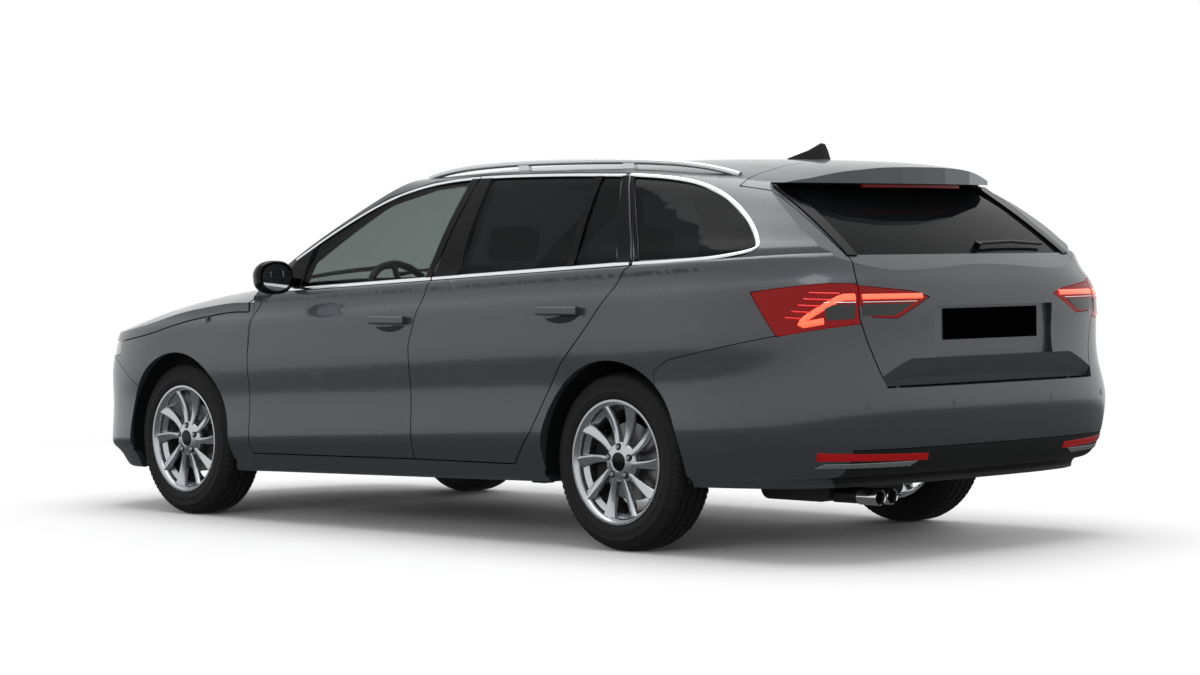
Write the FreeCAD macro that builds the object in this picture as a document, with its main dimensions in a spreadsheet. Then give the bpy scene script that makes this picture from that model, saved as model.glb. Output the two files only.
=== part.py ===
import FreeCAD, Part
import math
import os

V = FreeCAD.Vector
doc = FreeCAD.newDocument("station_wagon")

# Driving dimensions in millimetres and degrees: X forward, Y left, Z up, ground at zero.
SIZES = dict(
    # stance
    wheelbase=2686, front_axle_x=1455, wheel_centre_y=768,
    # wheels and brakes
    tyre_radius=326, tyre_width=205, tyre_wall=12, rim_seat_radius=216, rim_width=178, rim_wall=9,
    hub_face_offset=46, disc_radius=144, disc_thickness=24, spoke_pairs=5, spoke_depth=34,
    spindle_radius=22, ball_pin_radius=9,
    # steering and arches
    kingpin_y=690, arch_radius=372, liner_radius=382, liner_wall=4, arch_inner_y=470, arch_lip_y=866,
    # lower body levels: height at mid length, half width, nose reach and tail reach
    sill_under_height=222, sill_under_width=835, sill_under_nose=2235, sill_under_tail=2215,
    sill_side_height=262, sill_side_width=862, sill_side_nose=2300, sill_side_tail=2262,
    sill_top_height=291, sill_top_width=874, sill_top_nose=2325, sill_top_tail=2300,
    low_crease_height=383, low_crease_width=902, low_crease_nose=2343, low_crease_tail=2338,
    flank_low_height=440, flank_low_width=899, flank_low_nose=2345, flank_low_tail=2345,
    flank_mid_height=560, flank_mid_width=892, flank_mid_nose=2343, flank_mid_tail=2318,
    flank_high_height=700, flank_high_width=903, flank_high_nose=2328, flank_high_tail=2300,
    shoulder_low_height=800, shoulder_low_width=896, shoulder_low_nose=2305, shoulder_low_tail=2304,
    shoulder_line_height=884, shoulder_line_width=880, shoulder_line_nose=2262, shoulder_line_tail=2277,
    shoulder_top_height=896, shoulder_top_width=872, shoulder_top_nose=2250, shoulder_top_tail=2270,
    waist_height=946, waist_width=860, waist_nose=2200, waist_tail=2240,
    belt_height=986, belt_width=848, belt_nose=2150, belt_tail=2212,
    crown_height=1040, crown_width=800, crown_nose=2080, crown_tail=2190,
    # rise of the levels towards the tail, per thousand
    sill_rise=18, crease_rise=40, shoulder_rise=42,
    # greenhouse
    glass_base_width=838, side_lean=0.36, side_curve=0.00045, tail_lean=0.376,
    roof_front_height=1425, roof_peak_height=1448, roof_mid_height=1446, roof_aft_height=1412,
    roof_tail_height=1368,
    roof_edge_drop=37, roof_edge_drop_aft=94,
    screen_base_x=1092, screen_base_z=985, screen_top_x=240, screen_top_z=1425, screen_bow=150,
    tail_glass_base_x=-2240, tail_glass_base_z=1035, tail_glass_top_x=-1830, tail_glass_top_z=1318,
    tail_glass_bow=55,
    # bonnet
    cowl_height=1006, bonnet_mid_height=930, bonnet_front_height=838, bonnet_lip_height=742,
    bonnet_drop_cowl=85, bonnet_drop_mid=126,
    # walls
    door_thickness=110, frame_thickness=42, panel_thickness=30, bonnet_thickness=36,
    bonnet_rear_x=1180, bonnet_front_x=2232, bonnet_rear_gap=12, bay_front_x=2226,
    glass_thickness=5, glass_inset=4, floor_thickness=30, floor_height=232,
    # clearances
    panel_gap=5, fixed_gap=3, seat_gap=0.3, pillar_gap=12, pillar_depth_low=62, pillar_depth_high=20,
    plate_recess_x=2276, tailgate_front_x=-1645, roof_half_width=574, fender_rear_x=940,
    lamp_depth=64, head_lamp_back_x=1935,
    # fitted pieces
    engine_width=680, tank_width=660, plate_width=520, mirror_face_x=646, exhaust_tip_radius=26,
)

sheet = doc.addObject("Spreadsheet::Sheet", "dims")
for row, (alias, value) in enumerate(SIZES.items(), start=1):
    sheet.set("A%d" % row, alias.replace("_", " "))
    sheet.set("B%d" % row, str(value))
    sheet.setAlias("B%d" % row, alias)
doc.recompute()


def size(alias):
    """The sheet's value for one named size, as a plain number."""
    return float(getattr(sheet, alias))


REAR_AXLE_X = size("front_axle_x") - size("wheelbase")
GAP = size("panel_gap")
FAR = 3000.0


def curve_through(stations):
    """A smooth function through (x, value) stations, rising or falling no more than they do."""
    pts = sorted(stations)
    xs = [p[0] for p in pts]
    ys = [p[1] for p in pts]
    steps = [(ys[i + 1] - ys[i]) / (xs[i + 1] - xs[i]) for i in range(len(xs) - 1)]
    slopes = [steps[0]]
    for a, b in zip(steps, steps[1:]):
        slopes.append(0.0 if a * b <= 0 else 2 * a * b / (a + b))
    slopes.append(steps[-1])

    def value(x):
        if x <= xs[0]:
            return ys[0] + slopes[0] * (x - xs[0])
        if x >= xs[-1]:
            return ys[-1] + slopes[-1] * (x - xs[-1])
        i = max(k for k in range(len(xs) - 1) if xs[k] <= x)
        span = xs[i + 1] - xs[i]
        t = (x - xs[i]) / span
        h00, h10 = 2 * t**3 - 3 * t**2 + 1, t**3 - 2 * t**2 + t
        h01, h11 = -2 * t**3 + 3 * t**2, t**3 - t**2
        return h00 * ys[i] + h10 * span * slopes[i] + h01 * ys[i + 1] + h11 * span * slopes[i + 1]

    return value


def smooth_curves(rows, closed=False):
    """One smooth curve through each row of points, all with one spacing, so that a loft stays light."""
    spacing = [0.0] * (len(rows[0]) + (1 if closed else 0))
    for row in rows:
        loop = row + row[:1] if closed else row
        lengths = [0.0]
        for a, b in zip(loop, loop[1:]):
            lengths.append(lengths[-1] + (b - a).Length)
        spacing = [total + length / lengths[-1] for total, length in zip(spacing, lengths)]
    spacing = [total / len(rows) for total in spacing]
    curves = []
    for row in rows:
        curve = Part.BSplineCurve()
        curve.interpolate(Points=row, Parameters=spacing, PeriodicFlag=closed)
        curves.append(curve.toShape())
    return curves


# Lower body skin: plan outlines stacked from the sill to above the belt.
LEVELS = ["sill_under", "sill_side", "sill_top", "low_crease", "flank_low", "flank_mid", "flank_high",
          "shoulder_low", "shoulder_line", "shoulder_top", "waist", "belt", "crown"]
LEVEL_RISE = {"sill_under": "sill_rise", "sill_side": "sill_rise", "sill_top": "sill_rise",
              "low_crease": "crease_rise"}
NOSE_POWERS = (2.4, 12.0)
TAIL_POWERS = (3.0, 16.0)
END_FRACTIONS = (0.0, 0.2, 0.4, 0.56, 0.68, 0.78, 0.86, 0.92, 0.96)
SIDE_FRACTIONS = (0.62, 0.42, 0.2, 0.0)


def level_height(name, x):
    """Height of a level at station x: each level is a straight line that rises to the tail."""
    rise = size(LEVEL_RISE.get(name, "shoulder_rise")) / 1000.0
    return size(name + "_height") - rise * x


def half_outline(name, inset):
    """Left half of one plan outline from nose centre to tail centre, as (x, y) pairs."""
    width = size(name + "_width") - inset
    nose, tail = size(name + "_nose") - inset, size(name + "_tail") - inset
    points = []
    p, q = NOSE_POWERS
    for f in END_FRACTIONS:
        points.append((nose * (1 - f**p) ** (1 / q), width * f))
    for f in SIDE_FRACTIONS:
        points.append((nose * f, width * (1 - f**q) ** (1 / p)))
    p, q = TAIL_POWERS
    for f in reversed(SIDE_FRACTIONS[:-1]):
        points.append((-tail * f, width * (1 - f**q) ** (1 / p)))
    for f in reversed(END_FRACTIONS):
        points.append((-tail * (1 - f**p) ** (1 / q), width * f))
    return points


def lower_skin(inset):
    """The closed lower body form, in from the outer skin by inset on every side."""
    rows = []
    for name in LEVELS:
        half = half_outline(name, inset)
        loop = half[::-1] + [(x, -y) for x, y in half[1:-1]]
        rows.append([V(x, y, level_height(name, x)) for x, y in loop])
    return Part.makeLoft([Part.Wire(curve) for curve in smooth_curves(rows, True)], True, False)


def side_width(x, z):
    """Half width of the lower body at station x and height z, between the levels."""
    tail = x < 0
    p, q = TAIL_POWERS if tail else NOSE_POWERS
    stations = []
    for name in LEVELS:
        reach = size(name + ("_tail" if tail else "_nose"))
        share = min(abs(x) / reach, 0.9999)
        stations.append((level_height(name, x), size(name + "_width") * (1 - share**q) ** (1 / p)))
    return curve_through(stations)(z)


# Deck: the bonnet's top surface, ahead of the windscreen.
deck_centre = curve_through([
    (500, size("belt_height") + 2 - 500 * size("shoulder_rise") / 1000),
    (640, size("belt_height") + 6 - 640 * size("shoulder_rise") / 1000),
    (900, size("cowl_height") - 12), (1090, size("cowl_height") - 10), (1300, size("cowl_height") - 24),
    (1700, size("bonnet_mid_height") + 6), (2100, size("bonnet_front_height")), (2260, 790),
    (2360, size("bonnet_lip_height") - 12)])
deck_drop = curve_through([(500, 0), (700, 0), (900, size("bonnet_drop_cowl")), (1441,
        size("bonnet_drop_mid") - 18),
                           (1732, size("bonnet_drop_mid")), (2100, size("bonnet_drop_mid") - 16), (2360,
                                   70)])
DECK_POWER = 3.5
DECK_ROWS = [640 + 125 * k for k in range(15)]
DECK_ACROSS = [-930, -870, -800, -700, -560, -380, -190, 0, 190, 380, 560, 700, 800, 870, 930]


def deck_height(x, y):
    """Height of the bonnet surface: a centre line that falls away to the sides."""
    return deck_centre(x) - deck_drop(x) * (abs(y) / size("shoulder_line_width")) ** DECK_POWER


def sheet_surface(rows):
    """A smooth face through rows of points, each row a curve."""
    return Part.makeLoft([Part.Wire(curve) for curve in smooth_curves(rows)], False, False).Faces[0]


def above_deck(lower_by):
    """All that lies over the bonnet surface, once that is taken down by lower_by."""
    face = sheet_surface([[V(x, y, deck_height(x, y) - lower_by) for y in DECK_ACROSS] for x in DECK_ROWS])
    return face.extrude(V(0, 0, 1200))


# Greenhouse: cross sections with tumblehome, a rounded roof edge and a crowned roof.
roof_centre = curve_through([(1300, 1405), (300, size("roof_front_height")), (-300,
        size("roof_peak_height")),
                             (-900, size("roof_mid_height")), (-1774, size("roof_aft_height")),
                             (-2050, size("roof_tail_height")), (-2350, 1290)])
edge_drop = curve_through([(1300, 30), (0, size("roof_edge_drop")), (-1000, size("roof_edge_drop") + 14),
                           (-1774, size("roof_edge_drop_aft")), (-2350, size("roof_edge_drop_aft") + 20)])
ROOF_POWER = 2.6
TAIL_TAPER_START = -400.0
TAIL_TAPER_SPAN = 1374.0


def belt_line(x):
    return level_height("belt", x)


def belt_width(x, inset=0.0):
    """Half width of the glass base in plan."""
    tail = x < 0
    p, q = TAIL_POWERS if tail else NOSE_POWERS
    reach = size("belt_tail") if tail else size("belt_nose")
    share = min(abs(x) / reach, 0.985)
    return size("glass_base_width") * (1 - share**q) ** (1 / p) - inset


def glass_width(x, z):
    """Half width of the greenhouse side at station x and height z."""
    up = z - belt_line(x)
    aft = max(0.0, (TAIL_TAPER_START - x) / TAIL_TAPER_SPAN)
    lean = size("side_lean") + size("tail_lean") * aft**2
    return belt_width(x) - lean * up - size("side_curve") * up * abs(up)


def roof_height(x, y):
    """Height of the roof surface, crowned from side to side."""
    edge = roof_centre(x) - edge_drop(x)
    return roof_centre(x) - edge_drop(x) * (abs(y) / glass_width(x, edge)) ** ROOF_POWER


FOOT_DEPTH = 34.0
FOOT_TUCK = 16.0


def greenhouse_section(x, inset):
    """Points of one cross section of the greenhouse at station x, from foot to foot."""
    belt = belt_line(x)
    edge = roof_centre(x) - edge_drop(x)
    heights = [belt + 6 + (edge - 36 - belt) * k / 4.0 for k in range(5)]
    side = [(glass_width(x, belt) - FOOT_TUCK - inset, belt - FOOT_DEPTH)]
    side += [(glass_width(x, z) - inset, z) for z in heights]
    y_edge = glass_width(x, edge)
    shares = [0.93, 0.82, 0.66, 0.45, 0.22]
    top = [(y_edge * s - inset * s, roof_height(x, y_edge * s) - inset) for s in shares]
    side[-1] = (side[-1][0], side[-1][1] - inset * 0.3)
    half = side + top
    points = [V(x, y, z) for y, z in half] + [V(x, 0, roof_centre(x) - inset)]
    return points + [V(x, -y, z) for y, z in reversed(half)]


def screen_x(z):
    """Windscreen centre line: station at height z."""
    return curve_through([(940, 1152), (size("screen_base_z"), size("screen_base_x")), (1126, 864),
                          (1364, 388), (size("screen_top_z"), size("screen_top_x")), (1500, 40)])(z)


def tail_glass_x(z):
    """Tail glass centre line: station at height z."""
    return curve_through([(900, -2380), (size("tail_glass_base_z"), size("tail_glass_base_x")), (1180,
            -2048),
                          (size("tail_glass_top_z"), size("tail_glass_top_x")), (1480, -1560)])(z)


def ahead_of_screen(back_by):
    """All that lies ahead of the windscreen surface, moved back by back_by."""
    heights = [820, 900, 985, 1060, 1130, 1200, 1280, 1350, 1420, 1500]
    across = [-900, -745, -560, -380, -190, 0, 190, 380, 560, 745, 900]
    rows = [[V(screen_x(z) - size("screen_bow") * (y / 745.0) ** 2 - back_by, y,
               z) for y in across] for z in heights]
    return sheet_surface(rows).extrude(V(FAR, 0, 0))


def behind_tail_glass(forward_by):
    """All that lies behind the tail glass surface, moved forward by forward_by."""
    heights = [880, 985, 1035, 1100, 1180, 1260, 1340, 1480]
    across = [-900, -745, -560, -380, -190, 0, 190, 380, 560, 745, 900]
    rows = [[V(tail_glass_x(z) + size("tail_glass_bow") * (y / 600.0) ** 2 + forward_by, y,
               z) for y in across]
            for z in heights]
    return sheet_surface(rows).extrude(V(-FAR, 0, 0))


# Screens lie back, so a skin of one thickness is this many times thicker when measured along X.
SCREEN_LAY = 2.1
TAIL_GLASS_LAY = 1.75


def greenhouse_tube(inset):
    """Roof and sides alone, open ended, before the two screens trim it."""
    stations = [1250, 950, 650, 350, 50, -250, -550, -850, -1150, -1450, -1700, -1900, -2080, -2180]
    rows = [greenhouse_section(x, inset) for x in stations]
    wires = [Part.Wire([over, Part.makeLine(row[-1], row[0])]) for row, over in zip(rows,
            smooth_curves(rows))]
    return Part.makeLoft(wires, True, False)


def greenhouse(inset):
    """The closed greenhouse form, in from the outer skin by inset."""
    return greenhouse_tube(inset).cut([ahead_of_screen(inset * SCREEN_LAY),
                                       behind_tail_glass(inset * TAIL_GLASS_LAY)])


def above_belt():
    """All that lies over the belt line, from the windscreen's foot to the tail."""
    start = DECK_ROWS[0] + 50
    return side_prism([(start, belt_line(start)), (start, 1400), (-2500, 1400), (-2500, belt_line(-2500))],
                      -1000, 1000)


# Simple cutters
def box(x0, x1, y0, y1, z0, z1):
    return Part.makeBox(x1 - x0, y1 - y0, z1 - z0, V(x0, y0, z0))


def side_prism(points, y0, y1):
    """A side-view outline of (x, z) points, pushed through the car from y0 to y1."""
    loop = [V(x, y0, z) for x, z in points]
    return Part.Face(Part.makePolygon(loop + loop[:1])).extrude(V(0, y1 - y0, 0))


def end_prism(points, x0, x1):
    """An outline of (y, z) points seen from the end, pushed from x0 to x1."""
    loop = [V(x0, y, z) for y, z in points]
    return Part.Face(Part.makePolygon(loop + loop[:1])).extrude(V(x1 - x0, 0, 0))


def plan_prism(points, z0, z1):
    """An outline of (x, y) points seen from above, pushed from z0 to z1."""
    loop = [V(x, y, z0) for x, y in points]
    return Part.Face(Part.makePolygon(loop + loop[:1])).extrude(V(0, 0, z1 - z0))


def grown(points, by):
    """The outline with every edge moved outwards by the given amount."""
    area = sum(a[0] * b[1] - b[0] * a[1] for a, b in zip(points, points[1:] + points[:1]))
    sense = 1.0 if area > 0 else -1.0
    out = []
    for i in range(len(points)):
        before, here, after = points[i - 1], points[i], points[(i + 1) % len(points)]
        d1 = (here[0] - before[0], here[1] - before[1])
        d2 = (after[0] - here[0], after[1] - here[1])
        l1, l2 = math.hypot(*d1), math.hypot(*d2)
        n1 = (d1[1] / l1 * sense, -d1[0] / l1 * sense)
        n2 = (d2[1] / l2 * sense, -d2[0] / l2 * sense)
        share = by / (1 + n1[0] * n2[0] + n1[1] * n2[1])
        out.append((here[0] + (n1[0] + n2[0]) * share, here[1] + (n1[1] + n2[1]) * share))
    return out


def both_sides(shape):
    """The shape and its mirror image across the car."""
    return [shape, shape.mirror(V(0, 0, 0), V(0, 1, 0))]


# Closed forms that the panels are cut from
LOWER = lower_skin(0).cut(above_deck(0)).cut(above_belt()).cut(behind_tail_glass(0))
OUTER = LOWER.fuse(greenhouse(0))


def wheel_drums(axle_x):
    """The two wheel housings on one axle: a wide drum inside and the round arch through the skin."""
    drums = []
    for side in (-1, 1):
        inner, lip = size("arch_inner_y"), size("arch_lip_y")
        start = inner if side > 0 else -lip
        axis = V(0, 1, 0)
        drums.append(Part.makeCylinder(size("liner_radius") + size("liner_wall") + size("seat_gap"),
                                       lip - inner,
                                       V(axle_x, start, size("tyre_radius")), axis))
        start = lip - 1 if side > 0 else -1000
        drums.append(Part.makeCylinder(size("arch_radius"), 1001 - lip, V(axle_x, start,
                size("tyre_radius")), axis))
    return drums


# Bonnet: its rear edge follows the windscreen, its front edge the nose
def bonnet_rear(y):
    return size("bonnet_rear_x") - size("screen_bow") * (y / 745.0) ** 2


def bonnet_front(y):
    return size("bonnet_front_x") - 62 * (y / 600.0) ** 2


BONNET_YS = [-930, -800, -650, -450, -225, 0, 225, 450, 650, 800, 930]


def bonnet_zone(grow):
    """The bonnet's outline in plan, as a tall prism."""
    rear = [(bonnet_rear(y) - grow, y) for y in BONNET_YS]
    front = [(bonnet_front(y) + grow, y) for y in reversed(BONNET_YS)]
    return plan_prism(rear + front, 500, 1300)


def cowl_zone():
    rear = [(700, y) for y in (BONNET_YS[0], BONNET_YS[-1])]
    front = [(bonnet_rear(y) - size("bonnet_rear_gap"), y) for y in reversed(BONNET_YS)]
    return plan_prism(rear + front, 500, 1300)


# Side openings as seen from the side, (x, z)
ROOF_LINE = [(-1082, 1382), (-1069, 1383), (-700, 1396), (-243, 1402), (50, 1384), (286, 1330), (539,
        1209), (742, 1091)]
DOOR_SPLIT = [(-109, 300), (-112, 467), (-106, 750), (-155, 924), (-191, 1004), (-243, 1402)]
REAR_DOOR_TAIL = [(-1310, 1045), (-1284, 1027), (-1216, 934), (-1090, 790), (-976, 681), (-890, 560),
                  (-814, 434), (-692, 303)]
FRONT_DOOR = DOOR_SPLIT + ROOF_LINE[4:] + [(842, 962), (924, 862), (935, 698), (935, 285)]
REAR_DOOR_TOP = [(-700, 1396), (-1069, 1383), (-1082, 1382)]
REAR_DOOR = [(x - GAP, z) for x, z in DOOR_SPLIT] + REAR_DOOR_TOP + REAR_DOOR_TAIL
FRONT_GLASS = [(-150, 1006), (-192, 1391), (50, 1373), (286, 1318), (539, 1197), (640, 1139), (655, 972)]
REAR_GLASS = [(-348, 1016), (-318, 1391), (-700, 1385), (-924, 1377), (-971, 1042)]
REAR_FIXED_GLASS = [(-987, 1043), (-940, 1376), (-1050, 1372), (-1222, 1054)]
QUARTER_GLASS = [(-1335, 1060), (-1112, 1371), (-1280, 1357), (-1457, 1330), (-1620, 1277), (-1780, 1191),
                 (-1880, 1105), (-1878, 1094), (-1730, 1072), (-1579, 1064)]
RAIL = [(x, z - 32) for x, z in ROOF_LINE[1:]]
RAIL += [(808, 975), (880, 975), (760, 1150), (300, 1450), (-1069, 1450)]
PILLAR = [(-185, 250), (-185, 750), (-230, 924), (-262, 1004), (-312, 1425), (-180, 1425), (-122, 1004),
          (-84, 924), (-40, 750), (-40, 250)]
SWING_BEVEL = 0.3


def skin_y(x, z):
    """Half width of the whole body at a side-view point."""
    return side_width(x, z) if z < belt_line(x) else glass_width(x, z)


def bevelled_prism(points, bevelled, inner_y):
    """A side-view outline pushed through the left wall; the bevelled corners move forward with depth."""
    wires = []
    for y in (1000.0, inner_y):
        loop = []
        for (x, z), lean in zip(points, bevelled):
            shift = SWING_BEVEL * (skin_y(x, z) - y) if lean else 0.0
            loop.append(V(x + shift, y, z))
        wires.append(Part.makePolygon(loop + loop[:1]))
    return Part.makeLoft(wires, True, True)


FRONT_BEVEL = [True] * 6 + [False] * (len(FRONT_DOOR) - 6)
REAR_BEVEL = [True] * 6 + [False] * 2 + [True] * (len(REAR_DOOR) - 8)

# Tail openings as seen from behind, (y, z)
TAILGATE_HALF = [(0, 1520), (592, 1520), (592, 1380), (618, 1318), (618, 1085), (618, 1040), (655, 900),
                 (652, 851), (604, 722), (570, 610), (0, 610)]
# the skin's x at the corners where the gate narrows with depth, and 0 where its sides run straight
GATE_LEAN_HALF = [0, 0, 0, 0, 0, -2182, -2235, -2238, 0, 0, 0]
LIFT_BEVEL = 0.35
TAIL_LAMP = [(-1929, 941), (-2036, 790), (-2268, 836), (-2400, 850), (-2400, 955), (-2160, 968)]
GATE_LAMP = [(604, 851), (503, 847), (354, 917), (420, 936), (640, 958), (656, 900)]
REAR_BUMPER = [(-1470, 100), (-1470, 662), (-1547, 703), (-2036, 790), (-2268, 838), (-2450, 850),
               (-2450, 100)]
FRONT_BUMPER = [(1760, 100), (1760, 548), (1930, 640), (2030, 676), (2030, 1000), (2450, 1000), (2450, 100)]
HEAD_LAMP = [(415, 662), (432, 744), (640, 772), (800, 778), (930, 782), (930, 700), (700, 650)]
GRILLE = [(-372, 600), (-392, 640), (-392, 728), (392, 728), (392, 640), (372, 600)]
INTAKE = [(-560, 262), (-600, 330), (-560, 410), (560, 410), (600, 330), (560, 262)]


def mirrored_loop(half):
    """A whole outline from its left half, whose ends lie on the centre line."""
    return half + [(-y, z) for y, z in half[-2:0:-1]]


def lifting_prism(points, x_front):
    """The tailgate's outline pushed forward; beside the lamps it narrows with depth, so that it lifts clear."""
    wires = []
    for x in (-2500.0, x_front):
        loop = []
        for (y, z), skin_x in zip(points, GATE_LEAN_HALF + GATE_LEAN_HALF[-2:0:-1]):
            shift = LIFT_BEVEL * (x - skin_x) if skin_x else 0.0
            loop.append(V(x, y - shift if y > 0 else y + shift, z))
        wires.append(Part.makePolygon(loop + loop[:1]))
    return Part.makeLoft(wires, True, True)


SCREEN = [(-700, 968), (-500, 992), (-250, 1002), (0, 1005), (250, 1002), (500, 992), (700, 968),
          (640, 1150), (566, 1392), (-566, 1392), (-640, 1150)]
TAIL_GLASS = [(-574, 1066), (574, 1066), (566, 1200), (530, 1322), (-530, 1322), (-566, 1200)]


# Hollow shell: cabin and load space, engine bay and wheel housings taken out of the outer form
bonnet_layer = above_deck(size("bonnet_thickness"))
cabin_low = lower_skin(size("door_thickness")).common(box(-2400, 1012, -1000, 1000, 0, 1300))
cabin_low = cabin_low.cut(bonnet_layer).cut(above_belt())
cabin_high = greenhouse(size("frame_thickness"))
bay = lower_skin(size("panel_thickness")).common(box(1042, size("bay_front_x"), -1000, 1000, 0, 1200))
bay = bay.cut(bonnet_layer.common(cowl_zone()))
bonnet_opening = bonnet_zone(GAP).common(above_deck(size("bonnet_thickness") + GAP))
cowl_slot = bonnet_zone(size("bonnet_rear_gap")).common(bonnet_layer).common(box(900, 1300, -1000, 1000, 0,
        1300))
bonnet_shape = OUTER.common(bonnet_zone(0)).common(bonnet_layer)
split_x = size("fender_rear_x")
front_hull = OUTER.cut(box(-2600, split_x, -1100, 1100, 0, 1600))
rear_hull = OUTER.cut(box(split_x - size("fixed_gap"), 2600, -1100, 1100, 0, 1600))
FRONT_SHELL = front_hull.cut(bonnet_opening).cut(cowl_slot).cut(bay).cut(cabin_low).cut(cabin_high)
FRONT_SHELL = FRONT_SHELL.cut(wheel_drums(size("front_axle_x")))
REAR_SHELL = rear_hull.cut(cabin_low).cut(cabin_high).cut(wheel_drums(REAR_AXLE_X))

# Left half first; the right side mirrors it
RIGHT_HALF = box(-2600, 2600, -1100, 0, 0, 1700)
FRONT_LEFT = FRONT_SHELL.cut(RIGHT_HALF)
REAR_LEFT = REAR_SHELL.cut(RIGHT_HALF)
FIXED_GAP = size("fixed_gap")
SEAT = size("seat_gap")

roof_half = size("roof_half_width")
front_door_prism = bevelled_prism(FRONT_DOOR, FRONT_BEVEL, roof_half + 2 * GAP)
rear_door_prism = bevelled_prism(REAR_DOOR, REAR_BEVEL, roof_half + 2 * GAP)
pillar_prism = side_prism(PILLAR, 540, 1000)
rail_prism = side_prism(RAIL, 540, 1000)
pillar_low = pillar_prism.common(lower_skin(size("pillar_depth_low")).cut(above_belt()))
pillar_high = pillar_prism.fuse(rail_prism).common(greenhouse(size("pillar_depth_high")))
for x, z in ((-75, 600), (-150, 600)):
    buffer = Part.makeCylinder(10, 16, V(x, skin_y(x, z) - size("pillar_depth_low") - 8, z), V(0, 1, 0))
    pillar_low = pillar_low.fuse(buffer.common(lower_skin(size("pillar_depth_low") - GAP + SEAT)))
pillar_room = side_prism(grown(PILLAR, size("pillar_gap")), 540, 1000)
rail_room = side_prism(grown(RAIL, GAP), 540, 1000)
pillar_room_low = pillar_room.common(lower_skin(size("pillar_depth_low") - GAP).cut(above_belt()))
pillar_room_high = pillar_room.fuse(rail_room).common(greenhouse(size("pillar_depth_high") - GAP))


def door_panel(prism, windows):
    """One door, hollowed by its windows and by the pillar it closes against."""
    door = REAR_LEFT.common(prism).cut(pillar_room_low).cut(pillar_room_high)
    for window in windows:
        door = door.cut(side_prism(window, 300, 1000))
    return door


front_door_shape = door_panel(front_door_prism, [FRONT_GLASS])
rear_door_shape = door_panel(rear_door_prism, [REAR_GLASS, REAR_FIXED_GLASS])

door_hole_front = bevelled_prism(grown(FRONT_DOOR, GAP), FRONT_BEVEL,
                                 roof_half + GAP).cut(pillar_low).cut(pillar_high)
door_hole_rear = bevelled_prism(grown(REAR_DOOR, GAP), REAR_BEVEL,
                                roof_half + GAP).cut(pillar_low).cut(pillar_high)

TAILGATE = mirrored_loop(TAILGATE_HALF)
gate_front = size("tailgate_front_x")
gate_prism = lifting_prism(TAILGATE, gate_front)
gate_hole = lifting_prism(grown(TAILGATE, GAP), gate_front + GAP)
bumper_prism = side_prism(REAR_BUMPER, -1000, 1000)
bumper_hole = side_prism(grown(REAR_BUMPER, FIXED_GAP), -1000, 1000)
nose_prism = side_prism(FRONT_BUMPER, -1000, 1000)
nose_hole = side_prism(grown(FRONT_BUMPER, FIXED_GAP), -1000, 1000)
lamp_depth = size("lamp_depth")
lamp_core = lower_skin(lamp_depth)
lamp_bed = lower_skin(lamp_depth + SEAT)
tail_lamp_prism = side_prism(TAIL_LAMP, 560, 1000).cut(gate_hole)
tail_lamp_hole = side_prism(grown(TAIL_LAMP, FIXED_GAP), 560, 1000)
head_lamp_prism = end_prism(HEAD_LAMP, size("head_lamp_back_x"), 2500)
head_lamp_hole = end_prism(grown(HEAD_LAMP, FIXED_GAP), size("head_lamp_back_x") - SEAT, 2500)
screen_hole = end_prism(SCREEN, 250, 1400)
roof_zone = box(gate_front + GAP, 700, -roof_half, roof_half, 1180, 1600)
roof_hole = box(gate_front - 2, 700, -roof_half - SEAT, roof_half + SEAT, 1180, 1600)

side_shape = REAR_LEFT.cut(door_hole_front).cut(door_hole_rear)
side_shape = side_shape.cut(gate_hole).cut(bumper_hole).cut(roof_hole)
side_shape = side_shape.cut(screen_hole).cut(side_prism(QUARTER_GLASS, 300, 1000))
side_shape = side_shape.cut(tail_lamp_hole.cut(lamp_bed)).cut(box(700, 1300, -1, 700 + SEAT, 0, 1012))

fender_shape = FRONT_LEFT.cut(nose_hole)
fender_shape = fender_shape.cut(head_lamp_hole.cut(lamp_bed)).cut(box(700, 1300, -1, 700 + SEAT, 0, 1012))
fender_shape = fender_shape.cut(screen_hole)
for x in (1250, 1750):
    y = side_width(x, 760) - 17
    stop = Part.makeCylinder(8, 120, V(x, y, deck_height(x, y) - size("bonnet_thickness") - 70))
    fender_shape = fender_shape.fuse(stop.cut(above_deck(size("bonnet_thickness") + SEAT)))

bulkhead_shape = FRONT_SHELL.common(box(900, 1200, -700, 700, 0, 1012)).cut(screen_hole)
bulkhead_shape = bulkhead_shape.cut(box(900, 1200, -112, 112, 0, 322))
roof_shape = REAR_SHELL.common(roof_zone).cut(screen_hole)

# Tailgate with its window, the number plate's recess and the step over the bumper
tailgate_shape = REAR_SHELL.common(gate_prism)
gate_step = side_prism([(-2500, 590), (-2262, 590), (-2288, 704), (-2500, 704)], -700, 700)
plate_recess = box(-2500, -size("plate_recess_x"), -330, 330, 704, 884)
tailgate_shape = tailgate_shape.cut(end_prism(TAIL_GLASS, -2500, -1720)).cut(gate_step).cut(plate_recess)
gate_lamp_prism = end_prism(GATE_LAMP, -2450, -2100)
gate_lamp_hole = end_prism(grown(GATE_LAMP, FIXED_GAP), -2450, -2100).cut(lamp_bed)
for hole in both_sides(gate_lamp_hole):
    tailgate_shape = tailgate_shape.cut(hole)

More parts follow.
